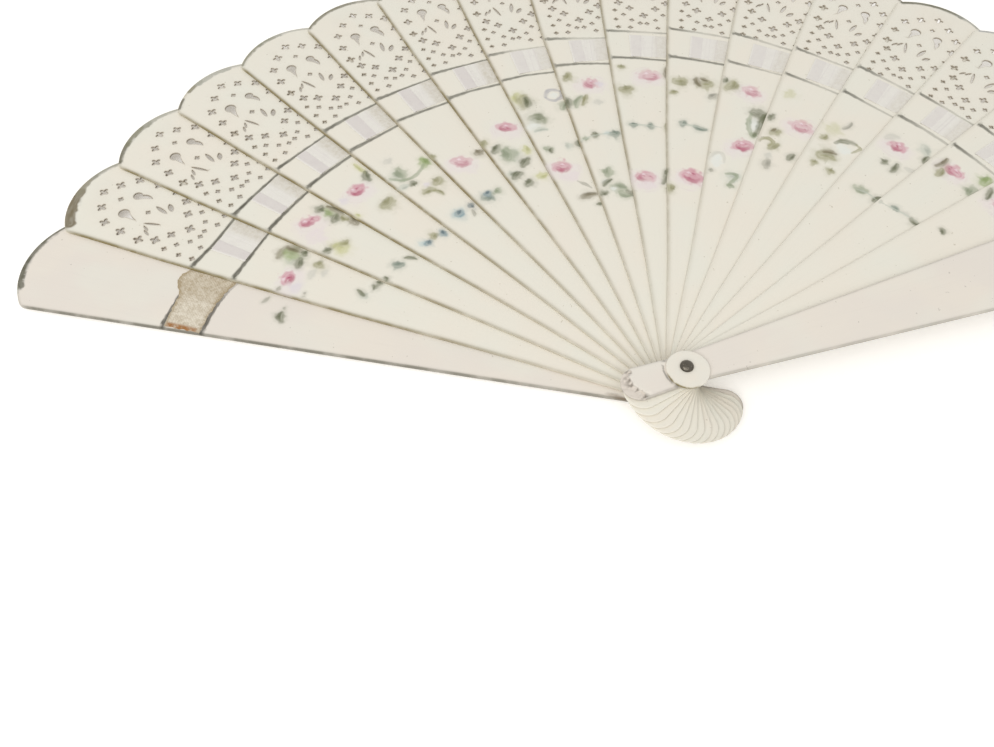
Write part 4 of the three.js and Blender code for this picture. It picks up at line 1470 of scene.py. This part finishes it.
class FAN_OT_ribbon(bpy.types.Operator):
    """Make the silk ribbon: one span on each stick and the glued end on the back guard"""

    bl_idname = "fan.build_ribbon"
    bl_label = "Ribbon"

    # How a span comes up out of its slit: run and height over the stick's front.
    lip = ((0.0, -0.25), (0.0, -0.1), (-0.04, 0.02), (-0.1, 0.05), (-0.08, 0.08), (0.02, 0.1), (0.2, 0.1))
    lying = 0.1
    slit_gap = 0.03
    under_gap = 0.04
    end_gap = 0.05
    # Runs of the part that shows, and where the part under the next stick starts.
    shown_run = (0.4, 11.0)
    hidden_start = 11.4
    # Points across a span, and along the part that shows and the part under the next stick.
    span_rows = 23
    shown_steps = 74
    hidden_steps = 14
    creases = (5.4, 7.2, 9.0)
    # Spans from this stick on are paler: less tint in the first fold, and less dust and painted shade
    # towards the next stick.
    paler_from = 8
    span_keep = 0.66

    # Lower and upper edge of the glued end as places on the guard, and where both end at the next slit.
    glued_low = ((-12.3, 128.7), (-9.5, 128.5), (-2.0, 127.9), (2.0, 127.0), (4.5, 126.0), (6.5, 125.1),
                 (9.5, 125.2))
    glued_high = ((-12.3, 138.7), (-9.6, 138.9), (-2.6, 138.8), (-0.5, 139.7), (1.8, 141.2), (4.4, 141.8),
                  (6.6, 140.4), (8.5, 138.4))
    glued_far = (127.2, 136.8)
    glued_rows = 34
    glued_steps = 74
    glued_keep = 0.8

    def execute(self, context):
        size = sizes_in_mm(context)
        hue = context.scene.fan_colours
        silk = silk_finish(hue)
        for stick in range(FIRST_STICK, LAST_STICK + 1):
            self.span(size, stick, silk)
        self.glued_end(size, glued_silk_finish(hue))
        return {"FINISHED"}

    def shell(self, upper, lower, rows, columns):
        """Points and faces of a thin closed sheet from its two grids."""
        points = np.vstack([upper.reshape(-1, 3), lower.reshape(-1, 3)])
        offset = rows * columns
        faces = []
        for row in range(rows - 1):
            for column in range(columns - 1):
                corner = row * columns + column
                quad = [corner, corner + 1, corner + columns + 1, corner + columns]
                faces.append(quad[::-1])
                faces.append([offset + k for k in quad])
        border = list(range(columns)) + [row * columns + columns - 1 for row in range(1, rows)]
        border += [(rows - 1) * columns + column for column in range(columns - 2, -1, -1)]
        border += [row * columns for row in range(rows - 2, 0, -1)]
        for first, second in zip(border, border[1:] + border[:1]):
            faces.append([first, second, offset + second, offset + first])
        return points, faces

    def slit_line(self, size, stick, share, turned):
        """Points of the slit's line by share of the ribbon's width, on this stick or on the next one."""
        along = band_middle(size, stick + turned) + (share - 0.5) * size.ribbon_width
        across = np.full_like(along, self.slit_gap - size.slit_offset - size.slit_width / 2)
        ahead, aside = direction(-size.pitch if turned else 0.0)
        return np.outer(across, ahead) + np.outer(along, aside)

    def span(self, size, stick, silk):
        """One span: it comes up out of the slit and runs in shallow folds to the next stick's slit."""
        bottom, top = heights(node_name(stick))
        drawn = np.random.default_rng(900 + stick)
        share = np.linspace(0, 1, self.span_rows)
        start = self.slit_line(size, stick, share, False)
        end = self.slit_line(size, stick, share, True)
        reach = np.linalg.norm(end - start, axis=1).mean()
        riser = ((0.0, bottom - top + self.under_gap),) + self.lip
        shown_runs = np.linspace(*self.shown_run, self.shown_steps)
        hidden_runs = np.linspace(self.hidden_start, reach - self.end_gap, self.hidden_steps)
        runs = np.concatenate([shown_runs, hidden_runs])
        run = np.array([r for r, _ in riser] + runs.tolist())
        base = np.array([z for _, z in riser] + [self.lying] * len(runs))
        shown = (ease((10.6 - run) / 1.5) * ease((run - 0.1) / 0.5))[:, None]

        # The first fold is a doubled strip that ends in a small step; finer creases follow it.
        step = 3.9 + drawn.uniform(-0.5, 0.5) + drawn.uniform(-0.5, 0.5) * (share - 0.5)
        doubled = 1 - ease((run[:, None] - step[None]) / 0.22)
        height = base[:, None] + 0.05 * doubled * shown
        deep = 0.7 if stick < self.paler_from else 0.4
        fold = deep * doubled * shown
        for place in self.creases:
            crease = place + drawn.uniform(-0.8, 0.8) + drawn.uniform(-0.8, 0.8) * (share - 0.5)
            gap = (run[:, None] - crease[None]) / drawn.uniform(0.2, 0.34)
            height += shown * drawn.uniform(0.02, 0.045) * np.exp(-gap ** 2)
            # Painted shade just short of each crease's ridge.
            fold += shown * drawn.uniform(0.2, 0.5) * np.exp(-(gap + 1.0) ** 2 * 2)
        # Dust and painted shade grow over the last few millimetres before the next stick's edge.
        dust_and_shade_strength = 0.85 if stick < self.paler_from else 0.5
        soil = np.broadcast_to((dust_and_shade_strength * ease((run - 7.0) / 2.4))[:, None], height.shape)
        height = np.maximum(height - 0.05 * ease((run - 10.6) / 1.5)[:, None], base.min())

        part = (run / reach)[:, None, None]
        upper = np.dstack([start[None] * (1 - part) + end[None] * part, top + height])
        across = np.gradient(run)[:, None]
        climb = np.gradient(height, axis=0)
        steep = np.hypot(across, climb)
        lower = upper.copy()
        heading = (end - start)[None] / reach
        lower[:, :, :2] += heading * (climb / steep)[:, :, None] * size.ribbon_weight
        lower[:, :, 2] -= across / steep * size.ribbon_weight
        points, faces = self.shell(upper, lower, len(run), len(share))
        node = "ribbon_%02d" % stick
        values = {"fold": np.tile(fold.ravel(), 2), "soil": np.tile(soil.ravel(), 2)}
        mesh = new_mesh("silk_" + node, points, faces, None, values)
        turn = stick_turn(size, stick)
        piece = add_piece("silk_" + node, mesh, silk, turn, node_name(stick), node)
        self.fold(size, piece, turn, -size.slit_offset, self.span_keep, top)

    def glued_end(self, size, material):
        """The ribbon's end on the back guard: narrow between the lines and spread at the stick."""
        guard = node_name(BACK_GUARD)
        _, top = heights(guard)
        share = np.linspace(0, 1, self.glued_rows)
        far = self.slit_line(size, BACK_GUARD, share, True)[:, 0].mean()
        across = np.linspace(self.glued_low[0][0], far, self.glued_steps)
        low_far, high_far = self.glued_far
        low_edge = np.interp(across, *zip(*self.glued_low, (far, low_far)))
        high_edge = np.interp(across, *zip(*self.glued_high, (far, high_far)))
        walk = np.column_stack([across, across * 0])
        low_edge = low_edge + (smooth_noise(walk, 0.9, 2) - 0.5) * 0.5
        high_edge = high_edge + (smooth_noise(walk, 0.8, 6) - 0.5) * 0.6
        along = low_edge[:, None] + (high_edge - low_edge)[:, None] * share[None]
        ragged = (smooth_noise(np.column_stack([share * 11, share * 0]), 0.7, 4) - 0.5) * 0.5
        place = across[:, None] + ease((-8.0 - across) / 4.4)[:, None] * ragged[None]
        flat = np.dstack([place, along])
        spots = flat.reshape(-1, 2)
        crinkle = smooth_noise(spots, 1.5, 12) * 0.06 + smooth_noise(spots, 0.6, 13) * 0.03
        crinkle = crinkle.reshape(place.shape) * ease((9.0 - across) / 2.0)[:, None]
        upper = np.dstack([flat, top + 0.02 + size.ribbon_weight + crinkle])
        lower = np.dstack([flat, np.full(place.shape, top + 0.015)])
        borders = ease((0.13 - share) / 0.13) + ease((share - 0.87) / 0.13)
        soil = (0.28 * ease((across + 4.5) / 5.0))[:, None] + 0.45 * borders[None]
        glue = ease((-10.5 - place) / 0.9) * ease((along - 129.0) / 1.2) * ease((138.8 - along) / 1.2)
        points, faces = self.shell(upper, lower, len(across), len(share))
        values = {"soil": np.tile(soil.ravel(), 2), "glue": np.tile(glue.ravel(), 2)}
        mesh = new_mesh("glued_ribbon_01", points, faces, None, values)
        turn = stick_turn(size, BACK_GUARD)
        piece = add_piece("glued_ribbon_01", mesh, material, turn, guard, "ribbon_01")
        self.fold(size, piece, turn, across[0], self.glued_keep, top)

    def fold(self, size, piece, turn, anchor, keep, top):
        """Gives the piece its own copy of its mesh."""
        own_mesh(piece)


class FAN_OT_washers(bpy.types.Operator):
    """Make the two washers under the rivet's heads"""

    bl_idname = "fan.build_washers"
    bl_label = "Washers"

    edge = 0.28
    slack = (0.3, -0.6)
    # Side of the washers' rims that is darkened by grime and painted shade.
    dirty_and_shaded_side = math.radians(238)
    segments = 96

    def execute(self, context):
        bore = sizes_in_mm(context).rivet_hole
        material = washer_finish(context.scene.fan_colours)
        edge = self.edge
        rounds = np.radians(np.linspace(0, 90, 6))
        for node in ("back_washer", "front_washer"):
            low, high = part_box(node)
            radius = (high[0] - low[0]) / 2 / MM
            bottom, top = heights(node)
            brim = radius - edge
            upper = [(brim + edge * math.cos(a), top - edge + edge * math.sin(a)) for a in rounds]
            lower = [(brim + edge * math.sin(a), bottom + edge - edge * math.cos(a)) for a in rounds]
            face = [(r, top) for r in np.linspace(brim, bore + 0.1, 9)[1:]]
            under = [(r, bottom) for r in np.linspace(bore, brim, 5)[:-1]]
            profile = under + lower + upper + face + [(bore, top - 0.1)]
            points, faces = lathe(profile, self.segments, True)
            angles = np.arctan2(points[:, 1], points[:, 0])
            reach = np.hypot(points[:, 0], points[:, 1])
            wobble = 1 + 0.01 * (1 + np.sin(3 * angles + 0.6)) * ease((reach - bore) / 2)
            points[:, :2] *= wobble[:, None]
            points[:, :2] += ease((reach - bore) / (radius - bore))[:, None] * self.slack
            # The rim is darkened on its lower-left side by grime and painted shade, and a little near the
            # bore.
            dirty_and_shaded = ease((np.cos(angles - self.dirty_and_shaded_side) - 0.45) / 0.35)
            stain = ease((reach - radius + 0.35) / 0.4) * dirty_and_shaded + 0.15 * ease((bore + 1.0 - reach) / 0.8)
            mesh = new_mesh("turned_" + node, points, faces, None, {"stain": stain})
            add_piece("turned_" + node, mesh, material, 0.0, "back_guard", node)
        return {"FINISHED"}


class FAN_OT_rivet(bpy.types.Operator):
    """Make the steel rivet with its domed head and its set end"""

    bl_idname = "fan.build_rivet"
    bl_label = "Rivet"

    seat_gap = 0.05
    collar = 0.16
    segments = 64

    def execute(self, context):
        size = sizes_in_mm(context)
        material = steel_finish(context.scene.fan_colours)
        bottom, top = heights("rivet")
        seat = heights("front_washer")[1] + self.seat_gap
        set_top = heights("back_washer")[0] - self.seat_gap
        dome, shank, flat_head = size.rivet_head, size.rivet_shank, size.rivet_set
        rounds = np.radians(np.linspace(0, 88, 12))[1:]
        crown = top - seat - self.collar
        profile = [(0.3, bottom), (flat_head - 0.2, bottom), (flat_head, bottom + 0.14),
                   (flat_head, set_top - 0.1), (flat_head - 0.08, set_top), (shank + 0.04, set_top),
                   (shank, set_top + 0.1)]
        profile += [(shank, z) for z in np.linspace(set_top + 0.3, seat - 0.2, 12)]
        profile += [(shank + 0.04, seat), (dome - 0.06, seat), (dome, seat + 0.06),
                    (dome, seat + self.collar)]
        profile += [(dome * math.cos(a), seat + self.collar + crown * math.sin(a)) for a in rounds]
        points, faces = lathe(profile, self.segments, False)
        flat = points[:, :2]
        reach = np.hypot(flat[:, 0], flat[:, 1])
        dents = np.abs(smooth_noise(flat, 0.8, 21) - 0.5) * 0.05
        points[:, 2] -= dents * (points[:, 2] > seat + 0.2) * ease((dome - reach) / 0.3)
        mesh = new_mesh("headed_rivet", points, faces)
        add_piece("headed_rivet", mesh, material, 0.0, "back_guard", "rivet")
        return {"FINISHED"}


class FAN_PT_sidebar(bpy.types.Panel):
    """Lists the fan's pieces, sizes and colours"""

    bl_idname = "FAN_PT_sidebar"
    bl_label = "Folding fan"
    bl_space_type = "VIEW_3D"
    bl_region_type = "UI"
    bl_category = "Fan"

    def draw(self, context):
        column = self.layout.column(align=True)
        for builder in BUILDERS:
            column.operator(builder.bl_idname)
        for group, fields in ((context.scene.fan_sizes, FanSizes), (context.scene.fan_colours, FanColours)):
            box = self.layout.box()
            for name in fields.__annotations__:
                box.prop(group, name)


BUILDERS = (FAN_OT_stage, FAN_OT_sticks, FAN_OT_guards, FAN_OT_ribbon, FAN_OT_washers, FAN_OT_rivet)
CLASSES = (FanSizes, FanColours, *BUILDERS, FAN_PT_sidebar)


def register():
    for item in CLASSES:
        bpy.utils.register_class(item)
    bpy.types.Scene.fan_sizes = PointerProperty(type=FanSizes)
    bpy.types.Scene.fan_colours = PointerProperty(type=FanColours)


def unregister():
    del bpy.types.Scene.fan_colours
    del bpy.types.Scene.fan_sizes
    for item in reversed(CLASSES):
        bpy.utils.unregister_class(item)


def main():
    """Build the stage and every piece."""
    register()
    bpy.ops.fan.build_stage()
    bpy.ops.fan.build_sticks()
    bpy.ops.fan.build_guards()
    bpy.ops.fan.build_ribbon()
    bpy.ops.fan.build_washers()
    bpy.ops.fan.build_rivet()


if __name__ == "__main__":
    main()
